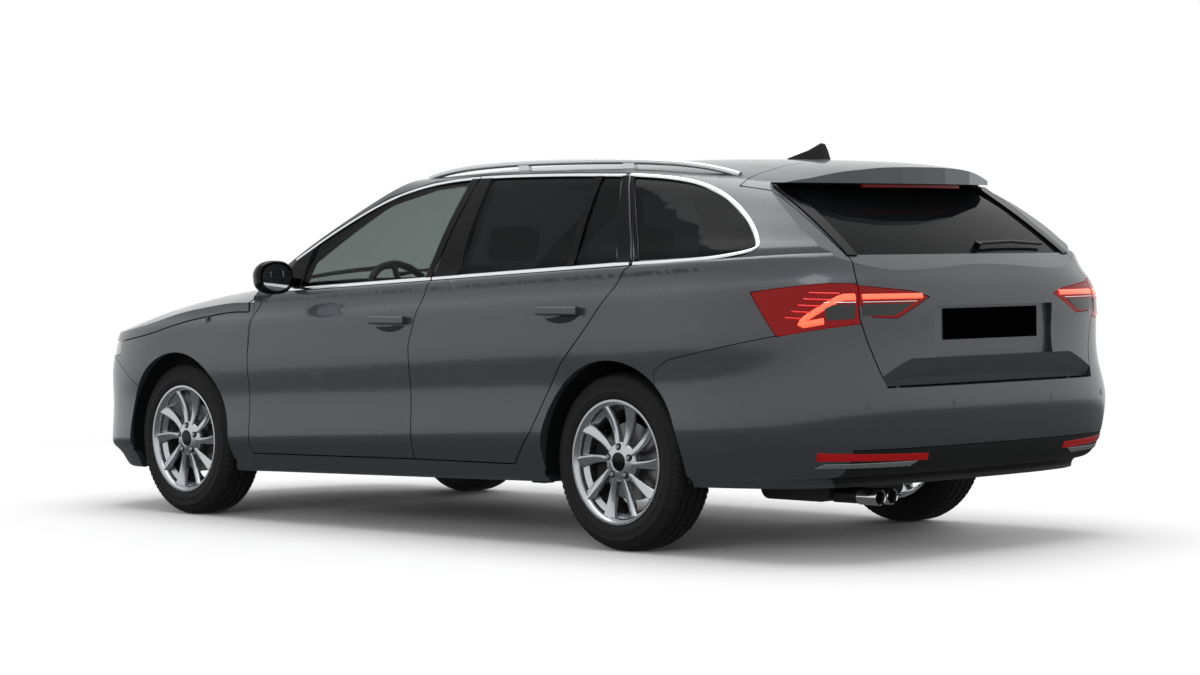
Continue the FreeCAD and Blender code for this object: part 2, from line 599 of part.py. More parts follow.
rear_bumper_shape = REAR_SHELL.common(bumper_prism).cut(gate_hole)
for hole in both_sides(tail_lamp_hole.cut(lamp_bed)):
    rear_bumper_shape = rear_bumper_shape.cut(hole)
valance_shape = rear_bumper_shape.common(box(-2500, -2120, -690, 690, 0, 393))
rear_bumper_shape = rear_bumper_shape.cut(box(-2500, -2120 + SEAT, -690 - FIXED_GAP, 690 + FIXED_GAP, 0,
                                              393 + FIXED_GAP))
for y in (-480, 480):
    rear_bumper_shape = rear_bumper_shape.fuse(Part.makeCylinder(9, 30, V(-2248, y, 610 - SEAT - 30)))

front_bumper_shape = FRONT_SHELL.common(nose_prism)
for hole in both_sides(head_lamp_hole.cut(lamp_bed)):
    front_bumper_shape = front_bumper_shape.cut(hole)
front_bumper_shape = front_bumper_shape.cut(end_prism(GRILLE, 2150, 2500)).cut(end_prism(INTAKE, 2100,
        2500))

# Lamps share the skin and reach a set depth behind it
lamp_layer = LOWER.cut(lamp_core)
tail_lamp_shape = lamp_layer.common(tail_lamp_prism)
gate_lamp_shape = lamp_layer.common(gate_lamp_prism).common(gate_prism)
head_lamp_shape = lamp_layer.common(head_lamp_prism).cut(bonnet_opening)

# Grilles: bars that follow the nose
nose_layer = lower_skin(16).common(box(2100, 2500, -700, 700, 200, 800)).cut(lower_skin(42))


def bar_set(outline, slots):
    """A frame round the opening with bars left between its slots."""
    area = end_prism(grown(outline, -size("seat_gap")), 2100, 2500)
    inner = end_prism(grown(outline, -14), 2050, 2550)
    for z0, z1 in slots:
        area = area.cut(inner.common(box(2050, 2550, -700, 700, z0, z1)))
    return nose_layer.common(area)


grille_shape = bar_set(GRILLE, [(614, 630), (642, 658), (670, 686), (698, 714)])
intake_shape = bar_set(INTAKE, [(276, 300), (312, 328), (340, 356), (368, 396)])

# Glass, set in by a little and held in its openings
inset = size("glass_inset")
glass_back = inset + size("glass_thickness")
screen_shape = end_prism(grown(SCREEN, -SEAT), 250, 1300).common(ahead_of_screen(glass_back * SCREEN_LAY))
screen_shape = screen_shape.cut(ahead_of_screen(inset * SCREEN_LAY))
tail_glass_shape = end_prism(grown(TAIL_GLASS, -SEAT), -2400, -1720)
tail_glass_shape = tail_glass_shape.common(behind_tail_glass(glass_back * TAIL_GLASS_LAY))
tail_glass_shape = tail_glass_shape.cut(behind_tail_glass(inset * TAIL_GLASS_LAY))
pane_outlines = [FRONT_GLASS, REAR_GLASS, REAR_FIXED_GLASS, QUARTER_GLASS]
panes = Part.makeCompound([side_prism(grown(outline, -SEAT), 500, 1000) for outline in pane_outlines])
panes = panes.common(greenhouse(inset)).cut(greenhouse(glass_back))
front_pane, rear_pane, rear_fixed_pane, quarter_pane = sorted(panes.Solids,
        key=lambda pane: -pane.BoundBox.XMax)

# Roof spoiler: the roof skin carried on over the tail glass
SPOILER_PLAN = [(-1700, -586), (-1800, -588), (-1868, -500), (-1945, -300), (-1978, -120), (-1982, 0),
                (-1978, 120),
                (-1945, 300), (-1868, 500), (-1800, 588), (-1700, 586)]
spoiler_shape = greenhouse_tube(0).common(plan_prism(SPOILER_PLAN, 1250, 1500))
spoiler_shape = spoiler_shape.common(side_prism([(-1600, 1335), (-2000, 1322), (-2000, 1500), (-1600,
        1500)], -700, 700))
spoiler_shape = spoiler_shape.common(behind_tail_glass(-SEAT))

# Floor pan with tunnel, raised load floor and spare wheel well
low = size("floor_height")
top = low + size("floor_thickness")
FLOOR = [(1012 - SEAT, low), (1012 - SEAT, top), (-780, top), (-965, 548), (-2228, 560), (-2228, 530),
         (-950, 518), (-795, low)]
floor_shape = side_prism(FLOOR, -900, 900).fuse(box(-760, 1009, -140, 140, low, 350))
floor_shape = floor_shape.cut(box(-800, 1100, -112, 112, 0, 322))
well = Part.makeCylinder(320, 190, V(-1840, 0, 370)).cut(Part.makeCylinder(308, 220, V(-1840, 0, 382)))
floor_shape = floor_shape.cut(Part.makeCylinder(308, 220, V(-1840, 0, 382))).fuse(well)
floor_room = lower_skin(size("door_thickness") + SEAT).common(box(-2400, 1012 - SEAT, -1000, 1000, 0, 700))
jack_pads = [box(x - 35, x + 35, y - 25, y + 25, low - 14, low + 5) for x in (800, -660) for y in (-700,
        700)]
floor_shape = floor_shape.common(floor_room).cut(wheel_drums(REAR_AXLE_X))
floor_shape = floor_shape.cut(wheel_drums(size("front_axle_x")))
for pad in jack_pads:
    floor_shape = floor_shape.fuse(pad)
for y in (-530, 530):
    floor_shape = floor_shape.fuse(box(-925, -885, y - 30, y + 30, 322 + SEAT, 470))


def main_solid(shape):
    """The largest solid, without slivers that a cut leaves behind."""
    return max(shape.Solids, key=lambda solid: solid.Volume)


def add_part(label, shape):
    """A finished piece in the document."""
    piece = doc.addObject("Part::Feature", label)
    piece.Label = label
    piece.Shape = shape
    return piece


def add_pair(label, shape):
    """Two like pieces, one on each side, that stay together."""
    return add_part(label, Part.makeCompound(both_sides(shape)))


def mirror_part(label, source):
    """The right-hand piece, mirrored from the left-hand one."""
    piece = doc.addObject("Part::Mirroring", label)
    piece.Label = label
    piece.Source = source
    piece.Normal = V(0, 1, 0)
    piece.Base = V(0, 0, 0)
    return piece


pieces = []

# Body panels
side_left = add_part("side_panel_left", main_solid(side_shape))
fender_left = add_part("fender_left", main_solid(fender_shape))
pieces += [side_left, mirror_part("side_panel_right", side_left)]
pieces += [fender_left, mirror_part("fender_right", fender_left)]
pieces.append(add_part("roof_panel", main_solid(roof_shape)))
pieces.append(add_part("bulkhead", main_solid(bulkhead_shape)))
pieces.append(add_part("floor_pan", main_solid(floor_shape)))
pieces.append(add_part("bonnet", main_solid(bonnet_shape)))
pieces.append(add_part("front_bumper", main_solid(front_bumper_shape)))
pieces.append(add_part("rear_bumper", main_solid(rear_bumper_shape)))
pieces.append(add_part("rear_valance", main_solid(valance_shape)))
pieces.append(add_part("front_grille", Part.makeCompound([main_solid(grille_shape),
                                                          main_solid(intake_shape)])))
pieces.append(add_pair("headlamps", main_solid(head_lamp_shape)))
pieces.append(add_pair("tail_lamps", main_solid(tail_lamp_shape)))
pieces.append(add_part("windscreen", main_solid(screen_shape)))
pieces.append(add_pair("quarter_glasses", quarter_pane))


def door_handle(x0, x1, z):
    """A grip bar that stands off the door skin on two feet."""
    y = skin_y((x0 + x1) / 2, z)
    bar = box(x0, x1, y + 12, y + 28, z - 16, z + 16)
    bar = bar.makeFillet(7, [e for e in bar.Edges if abs(e.tangentAt(e.FirstParameter).x) > 0.9])
    feet = [box(x, x + 34, y - 8, y + 16, z - 12, z + 12) for x in (x0 + 2, x1 - 36)]
    return [bar] + feet


for place, shape, handle, windows in (
        ("front", front_door_shape, door_handle(-96, 118, 841), [front_pane]),
        ("rear", rear_door_shape, door_handle(-1088, -868, 878), [rear_pane, rear_fixed_pane])):
    panel = main_solid(shape)
    for bit in handle:
        panel = panel.fuse(bit)
    left = add_part("door_%s_left" % place, panel)
    glass = add_part("glass_%s_left" % place, Part.makeCompound(windows))
    pieces += [left, mirror_part("door_%s_right" % place, left)]
    pieces += [glass, mirror_part("glass_%s_right" % place, glass)]

pieces.append(add_part("tailgate", main_solid(tailgate_shape)))
pieces.append(add_part("tailgate_glass", main_solid(tail_glass_shape)))
pieces.append(add_pair("tailgate_lamps", main_solid(gate_lamp_shape)))
pieces.append(add_part("roof_spoiler", main_solid(spoiler_shape)))


# Sketch helpers for the turned and padded pieces
def sketch_on(body, role, name, offset=0.0):
    """A sketch on one of a body's origin planes, moved along the plane's normal."""
    sketch = body.newObject("Sketcher::SketchObject", name)
    plane = [feature for feature in body.Origin.OriginFeatures if feature.Role == role][0]
    sketch.AttachmentSupport = [(plane, "")]
    sketch.MapMode = "FlatFace"
    sketch.AttachmentOffset = FreeCAD.Placement(V(0, 0, offset), FreeCAD.Rotation())
    return sketch


def closed_outline(sketch, points):
    """Straight lines through the points and back to the first."""
    for a, b in zip(points, points[1:] + points[:1]):
        sketch.addGeometry(Part.LineSegment(V(a[0], a[1], 0), V(b[0], b[1], 0)), False)


def turned(body, name, points, additive=True):
    """A profile of (radius, y) points turned about the body's Y axis."""
    sketch = sketch_on(body, "XY_Plane", name + "_profile")
    closed_outline(sketch, points)
    feature = body.newObject("PartDesign::Revolution" if additive else "PartDesign::Groove", name)
    feature.Profile = sketch
    feature.ReferenceAxis = (sketch, ["V_Axis"])
    feature.Angle = 360
    return feature


def pad_along_y(body, name, points, y_end, width):
    """A side-view outline of (x, z) points padded to the right from y_end by a width in the sheet."""
    sketch = sketch_on(body, "XZ_Plane", name + "_outline", -y_end)
    closed_outline(sketch, points)
    pad = body.newObject("PartDesign::Pad", name)
    pad.Profile = sketch
    pad.setExpression("Length", "dims." + width)
    return pad


def five_times(body, name, feature):
    """The feature repeated evenly round the wheel."""
    pattern = body.newObject("PartDesign::PolarPattern", name)
    pattern.Originals = [feature]
    axis = [item for item in body.Origin.OriginFeatures if item.Role == "Y_Axis"][0]
    pattern.Axis = (axis, [""])
    pattern.Angle = 360
    pattern.setExpression("Occurrences", "dims.spoke_pairs")
    body.Tip = pattern
    return pattern


# Wheels: the tyre's section is hollow, the rim is one casting, the disc turns with them
def make_tyre(label):
    body = doc.addObject("PartDesign::Body", label)
    r, half = size("tyre_radius"), size("tyre_width") / 2
    seat, wall = size("rim_seat_radius"), size("tyre_wall")
    well = size("rim_width") / 2 - 5 - SEAT
    outside = [(seat + SEAT, well - 24), (seat + SEAT, well - 0.5), (seat + 11.5, well + 3), (seat + 15,
            well + 10), (seat + 30, half - 2),
               (seat + 50, half), (seat + 68, half - 3), (r - 26, half - 11), (r - 12, half - 19), (r - 4,
                       half - 30), (r, half - 48)]
    inside = [(r - wall - 2, half - 50), (r - wall - 8, half - 34), (r - wall - 24, half - 23), (seat + 60,
            half - 15),
              (seat + 46, half - wall), (seat + 30, half - wall - 2), (seat + 20, well - 8), (seat + 14,
                      well - 16), (seat + 8, well - 22)]
    # the outside runs over the tread to the far bead, the inside comes back
    loop = outside + [(x, -y) for x, y in reversed(outside)] + [(x, -y) for x,
            y in reversed(inside)] + inside
    turned(body, label + "_carcass", loop)
    return body


def make_rim(label):
    body = doc.addObject("PartDesign::Body", label)
    seat, half, wall = size("rim_seat_radius"), size("rim_width") / 2 + 8, size("rim_wall")
    outer = [(seat + 13, half), (seat + 11, half - 9), (seat, half - 13), (seat, half - 38), (seat - 16,
            half - 52),
             (seat - 16, half - 96), (seat, half - 140), (seat, 13 - half), (seat + 11, 9 - half),
             (seat + 13, -half)]
    inner = [(seat + 4, -half), (seat - wall, 18 - half), (seat - wall, half - 142), (seat - 25, half - 98),
             (seat - 25, half - 50), (seat - wall, half - 34), (seat - wall, half - 16), (seat + 4, half)]
    turned(body, label + "_barrel", outer + inner)
    # a pair of spokes: each leaves the hub slightly aslant, which gives the wheel its twist
    face = size("hub_face_offset")
    reach = seat - 12
    pair = []
    for start, end in ((-24.0, -15.0), (8.0, 21.0)):
        a0, a1 = math.radians(start), math.radians(end)
        root, tip = 50.0, reach
        w0, w1 = 14.0, 10.5
        p0 = (root * math.sin(a0), root * math.cos(a0))
        p1 = (tip * math.sin(a1), tip * math.cos(a1))
        dx, dz = p1[0] - p0[0], p1[1] - p0[1]
        n = math.hypot(dx, dz)
        nx, nz = -dz / n, dx / n
        pair.append([(p0[0] - nx * w0, p0[1] - nz * w0), (p1[0] - nx * w1, p1[1] - nz * w1),
                     (p1[0] + nx * w1, p1[1] + nz * w1), (p0[0] + nx * w0, p0[1] + nz * w0)])
    for number, outline in enumerate(pair):
        spoke = pad_along_y(body, "%s_spoke_%d" % (label, number + 1), outline, face + 36, "spoke_depth")
        five_times(body, "%s_spokes_%d" % (label, number + 1), spoke)
    turned(body, label + "_hub", [(0, face), (78, face), (78, face + 24), (66, face + 34), (34, face + 36),
                                  (32, face + 28),
                                  (0, face + 28)])
    return body


def make_disc(label):
    body = doc.addObject("PartDesign::Body", label)
    r, thick, face = size("disc_radius"), size("disc_thickness"), size("hub_face_offset") - SEAT
    back = -8.0
    bore = size("spindle_radius") + 0.1
    turned(body, label + "_section", [(bore, face), (76, face), (76, back + thick), (r, back + thick),
                                      (r, back), (68, back),
                                      (68, face - 8), (bore, face - 8)])
    return body


doc.recompute()
for axle, axle_x in (("front", "dims.front_axle_x"), ("rear", "dims.front_axle_x - dims.wheelbase")):
    for kind, maker in (("tyre", make_tyre), ("rim", make_rim), ("brake_disc", make_disc)):
        left = maker("%s_%s_left" % (kind, axle))
        left.setExpression("Placement.Base.x", axle_x)
        left.setExpression("Placement.Base.y", "dims.wheel_centre_y")
        left.setExpression("Placement.Base.z", "dims.tyre_radius")
        doc.recompute()
        pieces += [left, mirror_part("%s_%s_right" % (kind, axle), left)]

# Front knuckles: upright on the kingpin, hub bearing, caliper and steering arm
kx, ky, kz = size("front_axle_x"), size("kingpin_y"), size("tyre_radius")
wy = size("wheel_centre_y")


def caliper(x0, axle_x):
    """A brake caliper that bridges the disc, behind or ahead of the axle."""
    sign = 1 if x0 > 0 else -1
    xa, xb = sorted((axle_x + x0, axle_x + x0 + sign * 66))
    block = box(xa, xb, wy - 42, wy + 34, kz - 62, kz + 62)
    slot_depth = size("disc_radius") + 6
    slot = Part.makeCylinder(slot_depth, size("disc_thickness") + 12, V(axle_x, wy - 14, kz), V(0, 1, 0))
    rim_room = Part.makeCylinder(size("rim_seat_radius") - 31, 200, V(axle_x, wy - 100, kz), V(0, 1, 0))
    return block.common(rim_room).cut(slot)


bearing = Part.makeCylinder(44, wy + 32 - 655, V(kx, 655, kz), V(0, 1, 0))
bearing = bearing.fuse(Part.makeCylinder(size("spindle_radius"), 40, V(kx, wy + 4, kz), V(0, 1, 0)))
upright = box(kx - 26, kx + 26, 664, 704, kz - 122, kz + 118)
bracket = box(kx - 150, kx - 20, 706, 734, kz - 52, kz + 52).cut(Part.makeCylinder(60, 100, V(kx, 690, kz),
        V(0, 1, 0)))
web = box(kx - 60, kx, 690, 724, kz - 40, kz + 40)
arm = box(kx - 132, kx - 20, 664, 684, kz - 66, kz - 46)
tie_pin = Part.makeCylinder(9, 34, V(kx - 120, 674, kz - 92))
knuckle = bearing.fuse(upright).fuse(web).fuse(bracket).fuse(arm).fuse(tie_pin)
knuckle = knuckle.fuse(caliper(-96, kx))
pin_r = size("ball_pin_radius")
for z in (kz - 132, kz + 84):
    knuckle = knuckle.cut(Part.makeCylinder(pin_r + 0.1, 44, V(kx, ky, z)))
knuckle_left = add_part("knuckle_left", knuckle)
pieces += [knuckle_left, mirror_part("knuckle_right", knuckle_left)]

# Front suspension: cross member, lower arms, struts with springs and their yokes
cross = box(kx - 110, kx + 60, -360, 360, 190, 250)
for side in (-1, 1):
    arm_outline = [(kx - 200, side * 330), (kx + 40, side * 330), (kx + 28, side * ky + side * 18),
                   (kx - 28, side * ky + side * 18)]
    cross = cross.fuse(plan_prism(arm_outline, kz - 154, kz - 128))
    cross = cross.fuse(box(kx - 200, kx + 40, *sorted((side * 330, side * 362)), kz - 154, 230))
    cross = cross.fuse(Part.makeCylinder(29, 400, V(kx, side * 596, kz + 100)))
    cross = cross.fuse(box(kx - 22, kx + 22, *sorted((side * 580, side * 708)), kz + 124, kz + 148))
    cross = cross.fuse(Part.makeCylinder(78, 12, V(kx, side * 596, kz + 340)))
    cross = cross.fuse(Part.makeCylinder(78, 16, V(kx, side * 596, kz + 494)))
    cross = cross.fuse(Part.makeCylinder(58, 150, V(kx, side * 596, kz + 346)))
    for turn in range(4):
        ring = Part.makeTorus(62, 8, V(kx, side * 596, kz + 368 + turn * 34))
        cross = cross.fuse(ring)
    cross = cross.fuse(Part.makeCylinder(pin_r, 50, V(kx, side * ky, kz - 140)))
    cross = cross.fuse(Part.makeCylinder(pin_r, 50, V(kx, side * ky, kz + 88)))
pieces.append(add_part("front_suspension", cross))

# Rear axle: twist beam with trailing arms, stub hubs, calipers, springs and dampers
rx = REAR_AXLE_X
axle = box(rx + 90, rx + 170, -470, 470, 268, 330)
for side in (-1, 1):
    arm_plan = [(rx + 366, side * 500), (rx + 366, side * 560), (rx - 40, side * 650), (rx - 40,
            side * 590), (rx + 60, side * 440),
                (rx + 190, side * 440)]
    axle = axle.fuse(plan_prism(arm_plan, 276, 322))
    axle = axle.fuse(Part.makeCylinder(42, wy + 32 - 596, V(rx, side * 596, kz), V(0, side, 0)))
    axle = axle.fuse(Part.makeCylinder(size("spindle_radius"), 40, V(rx, side * (wy + 4), kz), V(0, side,
            0)))
    spring = Part.makeCylinder(50, 518.3 - 326, V(rx + 130, side * 405, 326))
    damper = Part.makeCylinder(24, 393, V(rx - 30, side * 560, 310))
    axle = axle.fuse(spring).fuse(damper)
    block = caliper(96, rx).fuse(box(rx + 40, rx + 150, 700, 734, kz - 48, kz + 48))
    block = block.fuse(box(rx + 30, rx + 70, 596, 724, kz - 30, kz + 4))
    axle = axle.fuse(block if side > 0 else block.mirror(V(0, 0, 0), V(0, 1, 0)))
pieces.append(add_part("rear_axle", axle))

# Wheel liners: half rings over each wheel with an inner wall
def liner(axle_x):
    r, wall = size("liner_radius"), size("liner_wall")
    lip, inner = size("arch_lip_y") - 2, size("arch_inner_y")
    ring = Part.makeCylinder(r + wall, lip - inner, V(axle_x, inner, kz), V(0, 1, 0))
    ring = ring.cut(Part.makeCylinder(r, lip - inner, V(axle_x, inner + wall, kz), V(0, 1, 0)))
    ring = ring.cut(box(axle_x - 500, axle_x + 500, inner - 50, 1000, -100, 262))
    return ring.cut(box(axle_x - 240, axle_x + 460, inner - 50, inner + 30, 0, 560 if axle_x > 0 else 380))


front_liner = liner(kx).cut(Part.makeCylinder(84, 400, V(kx, 596, kz + 330)))
rear_liner = liner(rx).cut(box(rx - 80, rx + 190, 400, 640, 200, 480))
pieces.append(add_part("wheel_liners", Part.makeCompound(both_sides(front_liner) + both_sides(rear_liner))))

# Engine and gearbox stand in the bay as one block
engine_body = doc.addObject("PartDesign::Body", "engine_block")
pad_along_y(engine_body, "engine_core", [(1290, 262), (1720, 262), (1720, 560), (1660, 790), (1330, 830),
                                         (1290, 700)],
            300, "engine_width")
pieces.append(engine_body)

# Front frame: side rails with engine mounts, strut towers and the beam behind the bumper
rail_in, rail_out = 410, size("arch_inner_y") - SEAT
frame = box(2180, size("bay_front_x") - SEAT, -480, 480, 430, 510)
for side in (-1, 1):
    y0, y1 = sorted((side * rail_in, side * rail_out))
    frame = frame.fuse(box(1042 + SEAT, 2182, y0, y1, 430, 510))
    frame = frame.fuse(box(kx - 70, kx + 70, *sorted((side * 436, side * rail_out)), 505, 846))
    frame = frame.fuse(box(kx - 92, kx + 92, *sorted((side * 436, side * 686)), 836 + SEAT, 846))
    tower = Part.makeCylinder(92, 122, V(kx, side * 596, 720)).cut(Part.makeCylinder(86, 130,
            V(kx, side * 596, 715)))
    frame = frame.fuse(tower)
engine_side = [(-380 - SEAT, -rail_in - 5), (300 + SEAT, rail_in + 5)]
for y0, y1 in engine_side:
    frame = frame.fuse(box(1460, 1560, *sorted((y0, y1)), 440, 500))
pieces.append(add_part("front_frame", frame))

# Fuel tank and exhaust hang under the floor
tank_body = doc.addObject("PartDesign::Body", "fuel_tank")
pad_along_y(tank_body, "tank_shell", [(-822, 240), (-1036, 240), (-1036, 517.8), (-966, 517.8),
                                      (-822, 254)],
            size("tank_width") / 2, "tank_width")
pieces.append(tank_body)


def tube_run(points, radius):
    """A round pipe along a broken line, with ball corners."""
    run = None
    for a, b in zip(points, points[1:]):
        piece = Part.makeCylinder(radius, (b - a).Length, a, b - a)
        run = piece if run is None else run.fuse(piece)
    for point in points[1:-1]:
        run = run.fuse(Part.makeSphere(radius, point))
    return run


pipe = tube_run([V(1290 - SEAT, 60, 285), V(1210, 60, 285), V(900, 0, 285), V(-640, 0, 285), V(-760, 60,
        205), V(-1000, 70, 205), V(-1560, 70, 218),
                 V(-1700, 330, 262)], 26)
muffler = box(-1990, -1660, 150, 550, 196, 346)
muffler = muffler.makeFillet(40, [e for e in muffler.Edges if abs(e.tangentAt(e.FirstParameter).y) > 0.9])
tip_radius = size("exhaust_tip_radius")
tips = []
for y in (440, 504):
    tip = Part.makeCylinder(tip_radius, 200, V(-1980, y, 220), V(-1, 0, 0))
    tips.append(tip.cut(Part.makeCylinder(tip_radius - 4, 90, V(-2110, y, 220), V(-1, 0, 0))))
exhaust = pipe.fuse(muffler)
for tip in tips:
    exhaust = exhaust.fuse(tip)
pieces.append(add_part("exhaust", exhaust))

# Cabin: dashboard with console, seats, steering wheel
DASH = [(664, 690), (640, 850), (690, 906), (760, 916), (1012 - SEAT, 904), (1012 - SEAT, 540), (850, 540)]
dash = side_prism(DASH, -690, 690)
console = box(40, 860, -105, 105, top + 1, 430).fuse(box(560, 860, -150, 150, 262 + 1, 640))
console = console.cut(box(-800, 1100, -141, 141, 200, 351))
pieces.append(add_part("dashboard", main_solid(dash.fuse(console))))


def slab(points, y0, y1, round_by):
    """A padded shape: a side-view outline pushed across and softened along its long edges."""
    solid = side_prism(points, y0, y1)
    edges = [e for e in solid.Edges if abs(e.tangentAt(e.FirstParameter).y) > 0.9]
    return solid.makeFillet(round_by, edges)


def seat(y_mid, half, x, base_z, foot_x):
    """Cushion, back and head restraint of one seat."""
    cushion = slab([(x + 470, base_z + 96), (x + 490, base_z + 10), (x, base_z), (x - 20, base_z + 120),
                    (x + 60, base_z + 134)],
                   y_mid - half, y_mid + half, 22)
    back = slab([(x + 60, base_z + 90), (x - 60, base_z + 80), (x - 215, base_z + 610), (x - 190,
            base_z + 680), (x - 110, base_z + 680)],
                y_mid - half, y_mid + half, 22)
    rest = slab([(x - 125, base_z + 706), (x - 195, base_z + 700), (x - 225, base_z + 850), (x - 160,
            base_z + 866)],
                y_mid - 125, y_mid + 125, 20)
    posts = box(x - 172, x - 158, y_mid - 60, y_mid + 60, base_z + 640, base_z + 730)
    plinth = box(foot_x, x + 420, y_mid - half + 40, y_mid + half - 40, top + SEAT, base_z + 30)
    return cushion.fuse(back).fuse(rest).fuse(posts).fuse(plinth)


pieces.append(add_pair("front_seats", seat(372, 255, 30, 352, 50)))
bench_x = -770
bench = seat(0, 640, bench_x, 330, -740)
for y in (-390, 390):
    rest = [(bench_x - 125, 1036), (bench_x - 195, 1030), (bench_x - 225, 1180), (bench_x - 160, 1196)]
    bench = bench.fuse(slab(rest, y - 110, y + 110, 20)).fuse(box(bench_x - 172, bench_x - 158, y - 40,
            y + 40, 970, 1060))
bench = main_solid(bench.cut(box(-900, -250, -140 - SEAT, 140 + SEAT, 200, 350 + SEAT)))
pieces.append(add_part("rear_seat", bench))

wheel_tilt = FreeCAD.Rotation(V(0, 1, 0), 24)
wheel_axis = wheel_tilt.multVec(V(-1, 0, 0))
hub_point = V(545, 370, 900)
steering = Part.makeTorus(178, 15, hub_point, wheel_axis)
steering = steering.fuse(Part.makeCylinder(52, 44, hub_point - wheel_axis * 30, wheel_axis))
for angle in (0, 180, 270):
    ray = FreeCAD.Rotation(wheel_axis, angle).multVec(V(0, 1, 0))
    steering = steering.fuse(Part.makeCylinder(12, 170, hub_point, ray))
steering = steering.fuse(Part.makeCylinder(24, 160, hub_point,
                                           wheel_axis * -1).cut(side_prism(grown(DASH, SEAT), -800, 800)))
pieces.append(add_part("steering_wheel", steering))

# Outside fittings: rails, aerial, mirrors, rear wiper and the blank number plate
def rail():
    """A roof rail: a bar that lands at both ends on the roof."""
    points = []
    for x, lift in ((150, 2), (60, 14), (-200, 24), (-700, 27), (-1200, 25), (-1480, 15), (-1580, 2)):
        y = 552.0
        points.append(V(x, y, roof_height(x, y) + lift))
    path = Part.BSplineCurve()
    path.interpolate(Points=points)
    spine = Part.Wire(path.toShape())
    start = points[0]
    ring = Part.Wire(Part.Circle(start, path.tangent(path.FirstParameter)[0], 11).toShape())
    bar = Part.BRepOffsetAPI.MakePipeShell(spine)
    bar.add(ring)
    bar.build()
    bar.makeSolid()
    return bar.shape().cut(roof_keep)


roof_keep = greenhouse_tube(-SEAT)
rail_shape = rail()
for x in (-420, -1010):
    y = 552.0
    rail_shape = rail_shape.fuse(box(x - 30, x + 30, y - 9, y + 9, roof_height(x, y) - 20, roof_height(x,
            y) + 24).cut(roof_keep))
pieces.append(add_pair("roof_rails", rail_shape))

fin = side_prism([(-1318, 1440), (-1420, 1466), (-1478, 1492), (-1490, 1488), (-1508, 1420), (-1318,
        1420)], -22, 22)
fin = fin.common(end_prism([(-22, 1400), (-15, 1462), (-4, 1495), (4, 1495), (15, 1462), (22, 1400)],
                           -1600, -1300))
pieces.append(add_part("roof_antenna", main_solid(fin.cut(roof_keep))))

def mirror_ring(x, half_y, half_z):
    """A rounded outline of the mirror housing at station x."""
    points = []
    for k in range(16):
        c, q = math.cos(k * math.pi / 8), math.sin(k * math.pi / 8)
        points.append(V(x, 962 + half_y * math.copysign(abs(c) ** 0.75, c),
                        1014 + half_z * math.copysign(abs(q) ** 0.75, q)))
    return points


MIRROR_RINGS = [(0, 82, 63), (14, 88, 69), (36, 86, 67), (60, 76, 57), (82, 56, 40), (94, 34, 22)]
mirror_x = size("mirror_face_x")
rings = smooth_curves([mirror_ring(mirror_x + x, y, z) for x, y, z in MIRROR_RINGS], True)
pod = Part.makeLoft([Part.Wire(ring) for ring in rings], True, False)
arm_points = [(829, 984), (821, 1008), (935, 1016), (935, 986)]
pod = pod.fuse(end_prism(arm_points, mirror_x + 16, mirror_x + 66))
pod = main_solid(pod.cut(roof_keep).cut(LOWER))
mirror_left = add_part("mirror_left", pod)
pieces += [mirror_left, mirror_part("mirror_right", mirror_left)]


def gate_point(y, z, out):
    """A point standing off the tail glass along its normal."""
    slope = (tail_glass_x(z + 1) - tail_glass_x(z - 1)) / 2
    normal = V(-1, 0, slope).normalize()
    return V(tail_glass_x(z) + size("tail_glass_bow") * (y / 600.0) ** 2, y, z) + normal * out


wiper = tube_run([gate_point(-60, 1092, SEAT - size("glass_inset")), gate_point(-60, 1092, 20)], 13)
wiper = wiper.fuse(tube_run([gate_point(-60, 1092, 14), gate_point(-270, 1098, 14), gate_point(-470, 1092,
        10)], 6))
pieces.append(add_part("rear_wiper", wiper))

plate_body = doc.addObject("PartDesign::Body", "number_plate")
plate_x = -size("plate_recess_x") - SEAT
pad_along_y(plate_body, "plate_panel", [(plate_x, 764), (plate_x - 6, 764), (plate_x - 6, 874),
                                        (plate_x, 874)],
            size("plate_width") / 2, "plate_width")
pieces.append(plate_body)

doc.recompute()

# Export every piece once it has been checked
os.makedirs("parts", exist_ok=True)
for piece in pieces:
    if "Invalid" in piece.State or "Error" in piece.State:
        raise RuntimeError(piece.Label + " did not build")
    if piece.Shape.isNull() or not piece.Shape.isValid():
        raise RuntimeError(piece.Label + " has a bad shape")
    piece.Shape.exportStep("parts/%s.step" % piece.Label)
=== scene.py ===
import math

import bmesh
import bpy
import numpy as np
from mathutils import Matrix, Vector


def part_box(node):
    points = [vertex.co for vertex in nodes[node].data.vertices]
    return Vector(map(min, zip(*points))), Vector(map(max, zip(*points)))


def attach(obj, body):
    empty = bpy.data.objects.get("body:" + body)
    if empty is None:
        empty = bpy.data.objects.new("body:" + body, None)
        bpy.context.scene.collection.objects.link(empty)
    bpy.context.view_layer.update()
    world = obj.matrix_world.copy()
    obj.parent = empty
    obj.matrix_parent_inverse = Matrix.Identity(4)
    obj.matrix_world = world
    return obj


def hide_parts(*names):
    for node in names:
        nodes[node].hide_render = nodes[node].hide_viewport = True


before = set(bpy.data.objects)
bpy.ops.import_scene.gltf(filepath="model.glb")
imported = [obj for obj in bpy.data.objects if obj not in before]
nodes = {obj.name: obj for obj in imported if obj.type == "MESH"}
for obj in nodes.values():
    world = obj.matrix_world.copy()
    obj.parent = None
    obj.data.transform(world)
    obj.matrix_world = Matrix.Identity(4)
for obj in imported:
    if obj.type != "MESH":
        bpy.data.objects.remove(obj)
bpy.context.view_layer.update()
scene = bpy.context.scene

